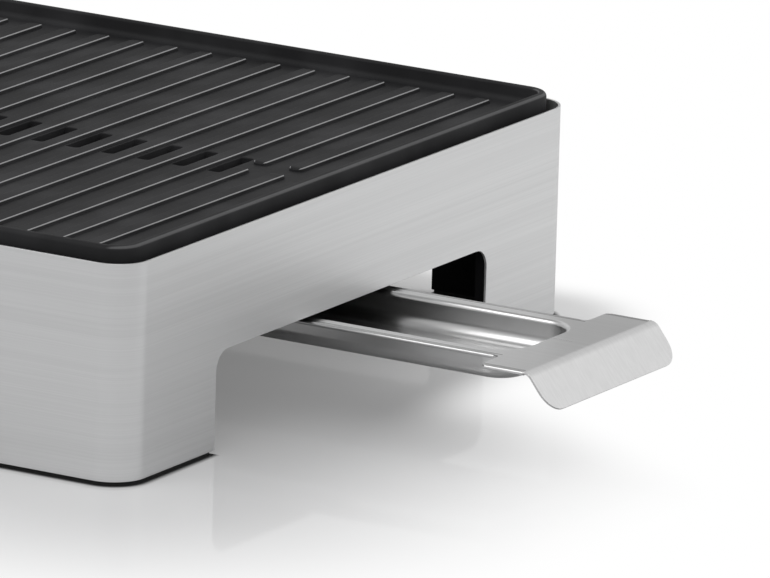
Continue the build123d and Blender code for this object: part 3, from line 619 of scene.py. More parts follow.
def four_corners(x, y):
    return [(sx * x, sy * y) for sx in (-1, 1) for sy in (-1, 1)]


# Finishes


def brushed_steel(tint):
    """Steel brushed level along the housing: long fine scratches that differ from line to line."""
    steel = Finish("brushed_steel")
    x, y, z = steel.place()
    fine = steel.noise(x * 7.0, y * 7.0, z * 1900.0, 4.0, 0.7)
    broad = steel.noise(x * 2.5 + 3.1, y * 2.5, z * 420.0, 2.0)
    scratch = steel.noise(x * 38.0, y * 38.0 + 7.7, z * 2200.0, 1.0).eased(0.62, 0.80)
    tone = steel.shades((fine * 0.6 + broad * 0.4).eased(0.30, 0.70), tint, 0.95, 1.045)
    roughness = 0.36 + fine * 0.08 + broad * 0.04 - scratch * 0.03
    relief = steel.bump(fine + scratch * 0.5, 0.000003, 0.25)
    steel.surface(base_color=tone, metallic=1.0, roughness=roughness, normal=relief)


def satin_steel(tint, tray):
    """Drawn sheet: a soft grain, a few handling marks and a painted dark line of shade inside each
    hem, where a crease's shadow would fall.
    """
    steel = Finish("tray_steel")
    x, y, z = steel.place()
    grain = steel.noise(x * 9.0, y * 900.0, z * 180.0)
    low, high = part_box("drip_tray")
    from_side = (high.y - low.y) / 2 - abs(y - (high.y + low.y) / 2)
    narrow = (tray.handle_width - tray.flange_width) / 2
    before_step = x - MIDDLE.x < tray.step
    from_hem = from_side - before_step * narrow
    # Place, half width, fade and darkness of the painted crease shade along each flange
    crease_shade_place, crease_shade_half, crease_shade_fade, crease_shade_dark = tray.hem_width * 0.72, 0.00022, 0.00055, 0.72
    line = 1.0 - abs(from_hem - crease_shade_place).eased(crease_shade_half, crease_shade_fade)
    on_flange = z > tray.flange_top - tray.cut_edge
    painted_crease_shade = line * on_flange * (x - MIDDLE.x < tray.step + tray.handle_flat)
    cloud = steel.speckle(26.0, 2.0)
    mark = steel.noise(x * 90.0 + y * 420.0, y * 70.0 - x * 60.0, z * 300.0, 1.0).eased(0.66, 0.80)
    tone = steel.shades(grain.eased(0.3, 0.7), tint, 0.97, 1.03)
    # Painted shade: a dark line on each flange inside its hem, standing in for a crease's shadow
    tone = steel.blend(painted_crease_shade * crease_shade_dark, tone, (0.06, 0.06, 0.06))
    roughness = 0.24 + grain * 0.06 + cloud * 0.06 + mark * 0.05
    relief = steel.bump(grain, 0.000002, 0.15)
    steel.surface(base_color=tone, metallic=1.0, roughness=roughness, normal=relief)


def nonstick_coating(tint, highlight_tint, plate):
    """Sprayed coating on a casting: fine orange peel, paler along ribs and rim as a painted
    highlight.
    """
    coat = Finish("nonstick")
    x, y, z = coat.place()
    aside, _, up = coat.parts(coat.node("ShaderNodeNewGeometry", None, {}, "Normal"))
    low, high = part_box("grill_plate")
    clear, rim_share = 0.0005, 0.22
    margin = plate.rim_width + plate.rim_foot_radius + clear
    on_floor_x = abs(x - MIDDLE.x) < (high.x - low.x) / 2 - margin
    on_floor_y = abs(y - MIDDLE.y) < (high.y - low.y) / 2 - margin
    on_ribs = on_floor_x * on_floor_y * (z > plate.floor_top + 0.0004)
    on_rim = z > high.z - plate.rim_inner_radius * 1.2
    # Painted highlight: faces turning partly sideways on ribs and rim are painted paler, standing
    # in for light caught on the edges
    rounded = up.eased(0.30, 0.60) * (1.0 - up.eased(0.86, 0.985))
    edge = rounded * abs(aside).eased(0.12, 0.35) * (on_ribs + on_rim * rim_share).least(1.0)
    peel = coat.speckle(950.0, 2.0, 0.55)
    grain = coat.speckle(5200.0, 1.0)
    cloud = coat.speckle(34.0, 2.0)
    tone = coat.shades(cloud.eased(0.35, 0.75), tint, 1.0, 1.7)
    tone = coat.blend(edge * (0.75 + peel * 0.35), tone, highlight_tint)
    roughness = 0.50 + peel * 0.10 + grain * 0.06
    relief = coat.bump(peel * 0.7 + grain * 0.3, 0.00003, 0.5)
    coat.surface(
        base_color=tone, roughness=roughness, normal=relief, specular_ior_level=0.10
    )


def moulded_plastic(name, tint, rough, grains, depth, gloss):
    """Moulded plastic with a fine spark-eroded grain."""
    plastic = Finish(name)
    grain = plastic.speckle(grains, 2.0, 0.6)
    cloud = plastic.speckle(40.0, 2.0)
    tone = plastic.shades(grain * 0.6 + cloud * 0.4, tint, 1.0, 1.25, 0.002)
    relief = plastic.bump(grain, depth, 0.5)
    roughness = rough + grain * 0.10 + cloud * 0.04
    plastic.surface(
        base_color=tone, roughness=roughness, normal=relief, specular_ior_level=gloss
    )


def bright_sheet(tint):
    """Aluminised sheet with a faint frosted spangle."""
    sheet = Finish("bright_sheet")
    x, y, z = sheet.place()
    inputs = {"Vector": sheet.vector(x, y, z), "Scale": 130.0}
    spangle = sheet.parts(sheet.node("ShaderNodeTexVoronoi", None, inputs, "Color"))[0]
    fine = sheet.speckle(1800.0, 2.0)
    tone = sheet.shades(spangle, tint, 0.90, 1.05)
    roughness = 0.34 + spangle * 0.12 + fine * 0.08
    relief = sheet.bump(fine, 0.00001, 0.3)
    sheet.surface(base_color=tone, metallic=1.0, roughness=roughness, normal=relief)


def heated_sheath(tint):
    """Element sheath: dull oxide with brown and blue-grey heat patches."""
    sheath = Finish("element_sheath")
    patch = sheath.speckle(38.0, 3.0).eased(0.38, 0.66)
    fine = sheath.speckle(2400.0, 2.0)
    brown = (tint[0] * 1.5, tint[1] * 1.15, tint[2] * 0.85)
    tone = sheath.blend(patch, tint, brown)
    roughness = 0.48 + fine * 0.18
    relief = sheath.bump(fine, 0.000015, 0.5)
    sheath.surface(base_color=tone, metallic=0.75, roughness=roughness, normal=relief)


def plated_steel(tint):
    """Bright zinc plate with a soft cloudy gloss."""
    plate = Finish("plated_steel")
    cloud = plate.speckle(420.0, 3.0)
    fine = plate.speckle(3800.0, 2.0)
    tone = plate.shades(cloud, tint, 0.90, 1.06)
    roughness = 0.20 + cloud * 0.12 + fine * 0.06
    relief = plate.bump(fine, 0.000006, 0.4)
    plate.surface(base_color=tone, metallic=1.0, roughness=roughness, normal=relief)


def fired_ceramic(tint):
    """Unglazed ceramic with fine pores."""
    clay = Finish("ceramic")
    pores = clay.speckle(3000.0, 2.0, 0.6)
    tone = clay.shades(clay.speckle(200.0, 2.0), tint, 1.0, 0.9)
    relief = clay.bump(pores, 0.00003, 0.6)
    clay.surface(base_color=tone, roughness=0.65 + pores * 0.15, normal=relief)


def lens_plastic(tint):
    """Clear coloured lens with a faint moulded ripple."""
    lens = Finish("lens_plastic")
    ripple = lens.speckle(900.0, 1.0)
    tone = lens.shades(ripple, tint, 1.0, 1.4)
    lens.surface(
        base_color=tone,
        roughness=0.10 + ripple * 0.06,
        normal=lens.bump(ripple, 0.00001, 0.3),
        coat_weight=0.4,
        coat_roughness=0.08,
    )


def make_finishes(colours, plate, tray):
    """Makes a material for every material slot of the record."""
    brushed_steel(colours.steel)
    satin_steel(colours.tray, tray)
    nonstick_coating(colours.coating, colours.coating_edge, plate)
    bright_sheet(colours.bright)
    heated_sheath(colours.sheath)
    plated_steel(colours.plated)
    fired_ceramic(colours.ceramic)
    lens_plastic(colours.lens)
    # Name, tint, roughness, grains to the metre, depth of a grain, gloss
    plastics = (
        ("black_moulding", colours.moulding, 0.60, 2600.0, 0.00003, 0.06),
        ("foot_rubber", colours.rubber, 0.72, 1900.0, 0.00004, 0.25),
        ("control_plastic", colours.control, 0.34, 3000.0, 0.00002, 0.4),
        ("pale_plastic", colours.pale, 0.42, 2800.0, 0.00002, 0.4),
        ("lead_sleeve", colours.sleeve, 0.55, 2200.0, 0.00002, 0.3),
    )
    for plastic in plastics:
        moulded_plastic(*plastic)


# Housing


def band_side(skin, length, face, opening, sizes, holes):
    """One flat side of the band. Its function face gives a point at a length and a height."""
    low, top = BAND_LOW.z, BAND_HIGH.z
    half, gap = length / 2, opening / 2
    radius, above = sizes.opening_radius, sizes.opening_top
    corners = [
        (-half, low, 0),
        (-gap, low, 0),
        (-gap, above, radius),
        (gap, above, radius),
        (gap, low, 0),
        (half, low, 0),
        (half, top, 0),
        (-half, top, 0),
    ]
    outline = skin.ring([face(along, height) for along, height in rounded_corners(corners)])
    loops = [outline]
    for along, height, diameter in holes:
        circle = rounded_ring(diameter, diameter, diameter / 2, 0, 8, (along, height))
        loops.append(skin.ring([face(a, h) for a, h, _ in circle[::-1]]))
    facing = face(0, 0) - face(0, 0).normalized() * 1e-6
    skin.fill(loops, (facing.x, facing.y, 0))


def draw_band(sizes, holes):
    """The folded sheet's outer face, then its wall and rounded edges."""
    skin = Skin()
    half_x, half_y = BAND_SIZE.x / 2, BAND_SIZE.y / 2
    radius = sizes.corner_radius
    side_opening = BAND_SIZE.x - 2 * sizes.side_leg
    flat_x, flat_y = BAND_SIZE.x - 2 * radius, BAND_SIZE.y - 2 * radius
    faces = (
        (flat_y, lambda a, h: Vector((half_x, a, h)), sizes.end_opening, []),
        (flat_x, lambda a, h: Vector((-a, half_y, h)), side_opening, holes["back"]),
        (flat_y, lambda a, h: Vector((-half_x, -a, h)), sizes.end_opening, []),
        (flat_x, lambda a, h: Vector((a, -half_y, h)), side_opening, holes["front"]),
    )
    for length, face, opening, cut in faces:
        band_side(skin, length, face, opening, sizes, cut)
    steps = sizes.corner_steps
    for number, (sx, sy) in enumerate(((1, 1), (-1, 1), (-1, -1), (1, -1))):
        columns = []
        for step in range(steps + 1):
            angle = pi / 2 * (number + step / steps)
            x = sx * (half_x - radius) + radius * cos(angle)
            y = sy * (half_y - radius) + radius * sin(angle)
            columns.append(skin.ring([(x, y, BAND_HIGH.z), (x, y, BAND_LOW.z)]))
        skin.loft(columns, closed=False)
    return folded(skin.mesh("housing_sheet"), sizes.wall, sizes.edge_radius)


class GRILL_OT_housing(bpy.types.Operator):
    """Draws the brushed housing with its four bridge openings"""

    bl_idname = "grill.housing"
    bl_label = "Housing"

    def execute(self, context):
        settings = context.scene.table_grill
        control = settings.control
        low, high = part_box("cord_gland")
        gland = (low + high) / 2 - MIDDLE
        nut_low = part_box("gland_nut")[0]
        gland_hole = 2 * (gland.z - nut_low.z) * control.gland_share
        lens_hole = control.lens_stem + control.lens_play
        holes = {
            "front": [
                (0.0, control.height, control.spindle_hole),
                (control.lamp_offset, control.height, lens_hole),
            ],
            "back": [(-gland.x, gland.z, min(gland_hole, control.gland_hole))],
        }
        mesh = draw_band(settings.housing, holes)
        add_piece("housing_sheet", mesh, "grill", "brushed_steel", ("housing_band",))
        return {"FINISHED"}


# Grill plate


def plate_profile(sizes, top):
    """Inset from the plate's edge and height, from the belly over the rim to the floor."""
    points = []
    belly = sizes.belly_radius
    for across, up in quarter_turn(6):
        points.append((belly * (1 - up), sizes.underside + belly * (1 - across)))
    outer = sizes.rim_outer_radius
    for across, up in quarter_turn(6):
        points.append((outer * (1 - across), top - outer * (1 - up)))
    inner = sizes.rim_inner_radius
    for across, up in quarter_turn(5):
        points.append((sizes.rim_width - inner * (1 - up), top - inner * (1 - across)))
    foot = sizes.rim_foot_radius
    for across, up in quarter_turn(6):
        points.append((sizes.rim_width + foot * (1 - across), sizes.floor_top + foot * (1 - up)))
    return points


def slot_places(sizes):
    """Middles of the drain slots along X, one beside each unbroken rib."""
    first = -(sizes.rib_count - 1) / 2 * sizes.rib_pitch
    offset = sizes.rib_width / 2 + sizes.slot_rib_gap + sizes.slot_width / 2
    numbers = range(sizes.broken_ribs, sizes.rib_count - sizes.broken_ribs)
    return [first + number * sizes.rib_pitch + offset for number in numbers]


def tube(skin, hollow, wall, sizes, depth, steps, middle):
    """A ring standing below the plate, its top sunk into the casting."""
    length, width, radius = hollow
    sunk = 0.0003
    low, high = sizes.underside - depth, sizes.underside + sunk
    rings = []
    for grown, height in ((wall, low), (wall, high), (0, high), (0, low)):
        outline = rounded_ring(
            length + 2 * grown, width + 2 * grown, radius + grown, height, steps, middle
        )
        rings.append(skin.ring(outline))
    skin.loft(rings + rings[:1])


def draw_collar_and_sockets(skin, sizes, length, width):
    """What stands below the plate: the drip collar and the sockets over the supports."""
    places = slot_places(sizes)
    middle = ((places[0] + places[-1]) / 2, 0.0)
    gap, bore = sizes.collar_gap, sizes.socket_inner
    long = places[-1] - places[0] + sizes.slot_width + 2 * gap
    hollow = (long, sizes.slot_length + 2 * gap, gap)
    tube(skin, hollow, sizes.collar_wall, sizes, sizes.collar_height, 6, middle)
    inset = sizes.support_inset
    wall = (sizes.socket_outer - bore) / 2
    for place in four_corners(length / 2 - inset, width / 2 - inset):
        tube(skin, (bore, bore, bore / 2), wall, sizes, sizes.socket_depth, 8, place)


def draw_plate(sizes, length, width, top):
    skin = Skin()
    rings = []
    for inset, height in plate_profile(sizes, top):
        radius = max(sizes.corner_radius - inset, 0.0005)
        outline = rounded_ring(length - 2 * inset, width - 2 * inset, radius, height, 9)
        rings.append(skin.ring(outline))
    skin.loft(rings)
    tops, bottoms = [], []
    edge = sizes.slot_edge
    for x in slot_places(sizes):
        walls = []
        levels = [(edge * (1 - up), sizes.floor_top - edge * (1 - a)) for a, up in quarter_turn(3)]
        for grown, height in levels + [(0.0, sizes.underside)]:
            outline = rounded_ring(
                sizes.slot_width + 2 * grown,
                sizes.slot_length + 2 * grown,
                sizes.slot_radius + grown,
                height,
                4,
                (x, 0.0),
            )
            walls.append(skin.ring(outline))
        skin.loft(walls)
        tops.append(walls[0])
        bottoms.append(walls[-1])
    skin.fill([rings[-1]] + [loop[::-1] for loop in tops], (0, 0, 1))
    skin.fill([rings[0]] + [loop[::-1] for loop in bottoms], (0, 0, -1))
    draw_collar_and_sockets(skin, sizes, length, width)
    return skin.mesh("grill_casting")


def draw_ribs(sizes, width, material):
    """The ribs: whole ones in the middle and broken ones at both ends."""
    whole_length = width - 2 * (sizes.rim_width + sizes.rib_end_margin)
    ribs = Pattern(
        "grill_ribs",
        rib_count=sizes.rib_count,
        pitch=sizes.rib_pitch,
        length=whole_length,
        foot_width=sizes.rib_width,
        height=sizes.rib_height,
        draft=sizes.rib_draft,
        crown=sizes.rib_crown,
        nose=sizes.rib_nose,
        broken_ribs=sizes.broken_ribs,
        gap=sizes.broken_gap,
        floor=sizes.floor_top,
        material=material,
    )
    lean = ribs.maths("TANGENT", ribs["draft"]) * ribs["height"]
    inputs = {
        "Bottom Width": ribs["foot_width"] - lean * 2.0,
        "Top Width": ribs["foot_width"],
        "Height": ribs["height"],
        "Offset": 0.0,
    }
    outline = ribs.node("GeometryNodeCurvePrimitiveQuadrilateral", {"mode": "TRAPEZOID"}, inputs)
    outline = ribs.moved(outline, Translation=ribs.vector(0.0, ribs["height"] * -0.5, 0.0))
    _, up, _ = ribs.parts(ribs.node("GeometryNodeInputPosition"))
    crown = (up < ribs["height"] * -0.5) * ribs["crown"]
    rounding = {"Curve": outline, "Count": 4, "Radius": crown, "Limit Radius": True}
    outline = ribs.node("GeometryNodeFilletCurve", {"mode": "POLY"}, rounding)

    def rib(length):
        ends = {"Start": ribs.vector(0.0, length * -0.5), "End": ribs.vector(0.0, length * 0.5)}
        line = ribs.node("GeometryNodeCurvePrimitiveLine", None, ends)
        line = ribs.node("GeometryNodeResampleCurve", None, {"Curve": line, "Count": 31})
        _, y, _ = ribs.parts(ribs.node("GeometryNodeInputPosition"))
        bunched = (y / length * pi).sine() * length * 0.5
        moved = {"Geometry": line, "Position": ribs.vector(0.0, bunched, 0.0)}
        line = ribs.node("GeometryNodeSetPosition", None, moved)
        line = ribs.node("GeometryNodeSetCurveNormal", {"mode": "Z_UP"}, {"Curve": line})
        _, y, _ = ribs.parts(ribs.node("GeometryNodeInputPosition"))
        inside = ((length * 0.5 - abs(y)) / ribs["nose"]).least(1.0).most(0.0)
        full = (inside * (2.0 - inside)).root()
        sweep = {
            "Curve": line,
            "Profile Curve": outline,
            "Scale": 0.42 + full * 0.58,
            "Fill Caps": True,
        }
        return ribs.node("GeometryNodeCurveToMesh", None, sweep)

    reach = (ribs["rib_count"] - 1.0) * ribs["pitch"]
    row = {
        "Count": ribs["rib_count"],
        "Start Location": ribs.vector(reach * -0.5, 0.0, ribs["floor"]),
        "Offset": ribs.vector(ribs["pitch"]),
    }
    row = ribs.node("GeometryNodeMeshLine", {"mode": "OFFSET"}, row)
    number = ribs.node("GeometryNodeInputIndex")
    from_end = number.least(ribs["rib_count"] - 1.0 - number)
    broken = from_end < ribs["broken_ribs"] - 0.5
    whole = {"Points": row, "Selection": 1.0 - broken, "Instance": rib(ribs["length"])}
    half_length = (ribs["length"] - ribs["gap"]) * 0.5
    half = rib(half_length)
    aside = (half_length + ribs["gap"]) * 0.5
    halves = [
        ribs.moved(half, Translation=ribs.vector(0.0, aside * way, 0.0)) for way in (-1.0, 1.0)
    ]
    pair = ribs.node("GeometryNodeJoinGeometry", None, {"Geometry": halves})
    parted = {"Points": row, "Selection": broken, "Instance": pair}
    rows = [ribs.node("GeometryNodeInstanceOnPoints", None, inputs) for inputs in (whole, parted)]
    return ribs.mesh(ribs.node("GeometryNodeJoinGeometry", None, {"Geometry": rows}))


class GRILL_OT_plate(bpy.types.Operator):
    """Draws the cast grill plate with its rim, drain slots and ribs"""

    bl_idname = "grill.plate"
    bl_label = "Grill plate"

    def execute(self, context):
        sizes = context.scene.table_grill.plate
        low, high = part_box("grill_plate")
        length, width, top = high.x - low.x, high.y - low.y, high.z
        casting = draw_plate(sizes, length, width, top)
        ribs = draw_ribs(sizes, width, finish("nonstick"))
        add_piece("grill_casting", casting, "plate", "nonstick", ("grill_plate",), 45.0)
        add_piece("grill_ribs", ribs, "plate", "nonstick", (), 45.0)
        return {"FINISHED"}


# Drip tray


def tray_outline(sizes):
    """The flange seen from above, up to the handle's bend."""
    nose = sizes.sheet
    side = sizes.flange_width / 2 - nose
    handle = sizes.handle_width / 2 - nose
    bend = sizes.step + sizes.handle_flat
    half = [
        (-sizes.tail, -side, sizes.tail_radius),
        (sizes.step, -side, sizes.step_radius + nose),
        (sizes.step, -handle, sizes.step_radius),
        (bend, -handle, 0),
    ]
    mirrored = [(x, -y, radius) for x, y, radius in half[::-1]]
    return rounded_corners(half + mirrored, 6)


def hem(skin, sign, outer, start, end, sizes):
    """The flange's edge folded under, with a round nose."""
    nose = sizes.sheet
    middle = sizes.flange_top - nose
    profile = [(outer - nose, middle), (outer - sizes.hem_width, middle)]
    profile.append((outer - sizes.hem_width, middle - nose))
    for across, up in quarter_turn(8, -90.0, 90.0):
        profile.append((outer - nose + nose * across, middle + nose * up))
    profile.append((outer - nose * 1.5, sizes.flange_top))
    profile.append((outer - nose * 1.5, middle + nose * 0.1))
    ends = [skin.ring([(x, sign * y, z) for y, z in profile]) for x in (start, end)]
    order = ends if sign < 0 else ends[::-1]
    skin.solid(order, (-sign, 0, 0))


def draw_tray_sheet(sizes):
    skin = Skin()
    top = sizes.flange_top
    outline = skin.ring([(x, y, top) for x, y in tray_outline(sizes)])
    back = -sizes.tail + sizes.tail_land + sizes.edge_radius
    long = sizes.basin_front - back
    middle = ((sizes.basin_front + back) / 2, 0.0)
    floor = top - sizes.basin_depth
    rings = []

    def basin(grown, height):
        outline = rounded_ring(
            long + 2 * grown,
            sizes.basin_width + 2 * grown,
            sizes.basin_radius + grown,
            height,
            12,
            middle,
        )
        rings.append(skin.ring(outline))

    edge, bottom = sizes.edge_radius, sizes.bottom_radius
    for across, up in quarter_turn(5):
        basin(edge * (1 - up), top - edge * (1 - across))
    for across, up in quarter_turn(7):
        basin(-bottom * (1 - across), floor + bottom * (1 - up))
    skin.loft(rings)
    skin.fill([rings[-1]], (0, 0, 1))
    skin.fill([outline, rings[0][::-1]], (0, 0, 1))
    return skin


def draw_tray_lip(skin, sizes):
    """The handle's bend and lip, rows from the flat down to the tip."""
    half = sizes.handle_width / 2
    bend = sizes.step + sizes.handle_flat
    centre = sizes.flange_top - sizes.bend_radius
    angle = sizes.lip_angle
    inner = half - sizes.sheet
    columns = [-half, -inner] + [inner * (n / 6 - 1) for n in range(1, 12)] + [inner, half]
    rows = []
    for step in range(9):
        part = angle * step / 8
        x = bend + sizes.bend_radius * sin(part)
        z = centre + sizes.bend_radius * cos(part)
        rows.append((x, z, half))
    start_x, start_z, _ = rows[-1]
    radius = sizes.tip_radius
    straight = sizes.lip_length - radius
    for step in range(11):
        reach = radius * sin(pi / 2 * step / 10)
        along = straight + reach
        narrow = radius * (1 - cos(pi / 2 * step / 10))
        rows.append((start_x + along * cos(angle), start_z - along * sin(angle), half - narrow))
    rings = []
    for x, z, reach in rows:
        rings.append(skin.ring([(x, y * reach / half, z) for y in columns]))
    skin.loft([ring[::-1] for ring in rings], closed=False)


class GRILL_OT_tray(bpy.types.Operator):
    """Draws the drip tray with its basin, hemmed flanges and bent handle"""

    bl_idname = "grill.tray"
    bl_label = "Drip tray"

    def execute(self, context):
        sizes = context.scene.table_grill.tray
        skin = draw_tray_sheet(sizes)
        draw_tray_lip(skin, sizes)
        sheet = folded(skin.mesh("tray_sheet", 2e-6), sizes.sheet, sizes.cut_edge, 60.0)
        hems = Skin()
        bend = sizes.step + sizes.handle_flat
        step, radius = sizes.step, sizes.step_radius
        along_flange = (sizes.tail_radius - sizes.tail, step - radius - sizes.sheet)
        for sign in (-1, 1):
            hem(hems, sign, sizes.flange_width / 2, *along_flange, sizes)
            hem(hems, sign, sizes.handle_width / 2, step + radius, bend, sizes)
        mesh = joined("drip_tray_sheet", [sheet, hems.mesh("tray_hems")])
        add_piece("drip_tray_sheet", mesh, "tray", "tray_steel", ("drip_tray",), 35.0)
        return {"FINISHED"}


# Controls


def on_front(x, height, depth):
    """A point in front of the housing, from the knob's axis."""
    return Vector((x, -BAND_SIZE.y / 2 - depth, height))


def draw_knob(sizes):
    """Turned knob body with shallow grip flutes and a hollow back."""
    skin = Skin()
    steps = sizes.flutes * 8
    back = sizes.knob_gap
    front = back + sizes.knob_depth
    radius = sizes.knob_diameter / 2
    slope = tan(sizes.knob_draft)
    edge = sizes.knob_edge

    def ring(reach, depth, fluted):
        points = []
        for step in range(steps):
            angle = 2 * pi * step / steps
            wave = abs(sin(angle * sizes.flutes / 2)) ** 0.6
            here = reach - fluted * sizes.flute_depth * (1 - wave)
            points.append(on_front(here * cos(angle), sizes.height + here * sin(angle), depth))
        return skin.ring(points)

    recess = sizes.knob_recess / 2
    inner = back + sizes.recess_depth
    chamfer, back_edge, dish = 0.0006, 0.0004, 0.0004
    flutes_begin, flutes_full, flat = 0.0018, 0.0026, 0.0012
    rings = [
        ring(sizes.spindle_bore / 2, inner, 0),
        ring(recess - chamfer, inner, 0),
        ring(recess, inner - chamfer, 0),
        ring(recess, back, 0),
        ring(radius - back_edge, back, 0),
        ring(radius, back + back_edge, 0),
        ring(radius - slope * flutes_begin, back + flutes_begin, 0),
        ring(radius - slope * flutes_full, back + flutes_full, 1),
    ]
    shoulder = radius - slope * sizes.knob_depth
    rings.append(ring(shoulder, front - edge - flat, 1))
    for number, (across, up) in enumerate(quarter_turn(6)):
        fluted = max(0.0, 1 - number / 3)
        rings.append(ring(shoulder - edge * (1 - across), front - edge * (1 - up), fluted * 0.6))
    rings.append(ring(shoulder - edge - flat, front, 0))
    rings.append(ring(shoulder - edge - flat - 0.001, front - dish, 0))
    rings.append(ring(0.004, front - dish, 0))
    skin.loft([loop[::-1] for loop in rings][::-1])
    skin.fill([rings[-1]], (0, -1, 0))
    skin.fill([rings[0]], (0, 1, 0))
    return skin.mesh("knob_body")


def draw_pointer(sizes):
    """Pale bar let into the knob's face."""
    half, length, from_edge = sizes.pointer_width / 2, sizes.pointer_length, 0.0016
    middle = (0, sizes.height + sizes.knob_diameter / 2 - from_edge - length / 2)
    front = sizes.knob_gap + sizes.knob_depth
    skin = Skin()
    rings = []
    for behind, shrink in ((sizes.pointer_depth, 0), (0.0002, 0), (0.00005, 0.0002)):
        outline = rounded_ring(
            2 * (half - shrink), length - 2 * shrink, half * 0.9 - shrink, 0, 5, middle
        )
        rings.append(skin.ring([on_front(x, up, front - behind) for x, up, _ in outline]))
    skin.solid(rings, (0, -1, 0))
    return skin.mesh("knob_pointer")


def draw_dial_marks(sizes, material):
    """Printed dots that grow round the knob with the heat."""
    marks = Pattern(
        "dial_marks",
        marks=sizes.marks,
        radius=sizes.mark_radius,
        sweep=sizes.sweep,
        dot=sizes.mark_size,
        height=sizes.height,
        front=-BAND_SIZE.y / 2,
        material=material,
    )
    arc = {
        "Resolution": marks["marks"],
        "Radius": marks["radius"],
        "Start Angle": pi / 2,
        "Sweep Angle": marks["sweep"],
    }
    arc = marks.node("GeometryNodeCurveArc", None, arc)
    upright = (pi / 2, 0.0, 0.0)
    arc = marks.moved(arc, Rotation=upright)
    arc = marks.moved(arc, Translation=marks.vector(0.0, marks["front"], marks["height"]))
    ink, smallest = 0.00012, 0.35
    dot = {"Vertices": 20, "Radius": marks["dot"] * 0.5, "Depth": ink}
    dot = marks.node("GeometryNodeMeshCylinder", {"fill_type": "NGON"}, dot)
    dot = marks.moved(dot, Rotation=upright)
    number = marks.node("GeometryNodeInputIndex")
    grown = smallest + (1.0 - number / (marks["marks"] - 1.0)) * (1.0 - smallest)
    points = {"Points": arc, "Instance": dot, "Scale": grown}
    return marks.mesh(marks.node("GeometryNodeInstanceOnPoints", None, points))


def draw_lens(sizes):
    """Domed head over the sheet and a stem through it."""
    skin = Skin()
    radius, rise = sizes.lens_diameter / 2, sizes.lens_height
    rings = []

    middle = (sizes.lamp_offset, sizes.height)

    def ring(reach, depth):
        outline = rounded_ring(2 * reach, 2 * reach, reach, 0, 10, middle)
        rings.append(skin.ring([on_front(x, height, depth) for x, height, _ in outline]))

    stem = sizes.lens_stem / 2
    ring(stem, -sizes.lens_reach)
    ring(stem, 0.0)
    ring(radius, 0.0)
    ring(radius, rise * 0.35)
    for across, up in quarter_turn(8, 0.0, 84.0):
        ring(radius * (0.06 + 0.94 * across), rise * (0.35 + 0.65 * up))
    skin.solid(rings, (0, -1, 0))
    return skin.mesh("lamp_lens")


class GRILL_OT_controls(bpy.types.Operator):
    """Draws the knob with its pointer, the printed scale and the indicator lens"""

    bl_idname = "grill.controls"
    bl_label = "Controls"

    def execute(self, context):
        sizes = context.scene.table_grill.control
        knob = draw_knob(sizes)
        add_piece("knob_body", knob, "knob", "control_plastic", ("control_knob",), 40.0)
        add_piece("knob_pointer", draw_pointer(sizes), "knob", "pale_plastic")
        marks = draw_dial_marks(sizes, finish("control_plastic"))
        add_piece("dial_marks", marks, "grill", "control_plastic")
        add_piece("lamp_lens", draw_lens(sizes), "grill", "lens_plastic", ("indicator_lens",))
        return {"FINISHED"}


# Fasteners


def draw_screw(sizes, length):
    """One screw, head up, its seat at zero, with a cross recess and a rolled thread."""
    skin = Skin()
    reach, rise = sizes.head_diameter / 2, sizes.head_height

    def ring(radius, height, steps=6):
        return skin.ring(rounded_ring(2 * radius, 2 * radius, radius, height, steps))

    edge, dome = 0.0002, 60.0
    rings = [ring(reach - edge, 0.0), ring(reach, edge), ring(reach, rise * 0.35)]
    for across, up in quarter_turn(5, 0.0, dome):
        height = rise * (0.35 + 0.65 * up / sin(radians(dome)))
        rings.append(ring(reach * (0.28 + 0.72 * across), height))
    skin.loft(rings)
    arm, half = sizes.cross_reach / 2, sizes.cross_width / 2
    cross = []
    for quarter in range(4):
        c, s = cos(pi / 2 * quarter), sin(pi / 2 * quarter)
        for x, y in ((arm, -half), (arm, half), (half, half)):
            cross.append((x * c - y * s, x * s + y * c))
    mouth = skin.ring([(x, y, rise) for x, y in cross])
    deep = skin.ring([(x * 0.45, y * 0.6, rise - sizes.cross_depth) for x, y in cross])
    skin.loft([mouth, deep])
    skin.fill([deep], (0, 0, 1))
    skin.fill([rings[-1], mouth[::-1]], (0, 0, 1))
    crest = sizes.shank_diameter / 2
    root = crest - sizes.thread_depth
    turns = ceil(length / sizes.thread_pitch)
    shank = [rings[0], ring(root, 0.0)]
    for number in range(turns * 2):
        depth = -length * (number + 1) / (turns * 2 + 1)
        shank.append(ring(crest if number % 2 == 0 else root, depth))
    shank.append(ring(root * 0.5, -length))
    skin.loft(shank[::-1])
    skin.fill([shank[-1]], (0, 0, -1))
    return skin.mesh("screw")


def draw_screws(node, sizes, head_down, material):
    """The same screw at each place where a CAD node has one."""
    name = node + "_dressed"
    places = screw_places(node)
    _, _, low, high = places[0]
    seat = low + sizes.head_height if head_down else high - sizes.head_height
    screw = draw_screw(sizes, high - low - sizes.head_height)
    model = bpy.data.objects.new(name + "_model", screw)
    bpy.context.scene.collection.objects.link(model)
    carrier = bpy.data.meshes.new(name + "_places")
    carrier.from_pydata([(x, y, seat) for x, y, _, _ in places], [], [])
    points = bpy.data.objects.new(name + "_places", carrier)
    bpy.context.scene.collection.objects.link(points)
    tip = pi if head_down else 0.0
    screws = Pattern(name, screw=model, places=points, tip=tip, material=material)
    where = screws.node("GeometryNodeObjectInfo", None, {"Object": screws["places"]}, "Geometry")
    what = screws.node("GeometryNodeObjectInfo", None, {"Object": screws["screw"]}, "Geometry")
    what = screws.moved(what, Rotation=screws.vector(screws["tip"]))
    number = screws.node("GeometryNodeInputIndex")
    inputs = {"Points": where, "Instance": what, "Rotation": screws.vector(0.0, 0.0, number * 0.9)}
    made = screws.mesh(screws.node("GeometryNodeInstanceOnPoints", None, inputs))
    bpy.data.objects.remove(model)
    bpy.data.objects.remove(points)
    return made


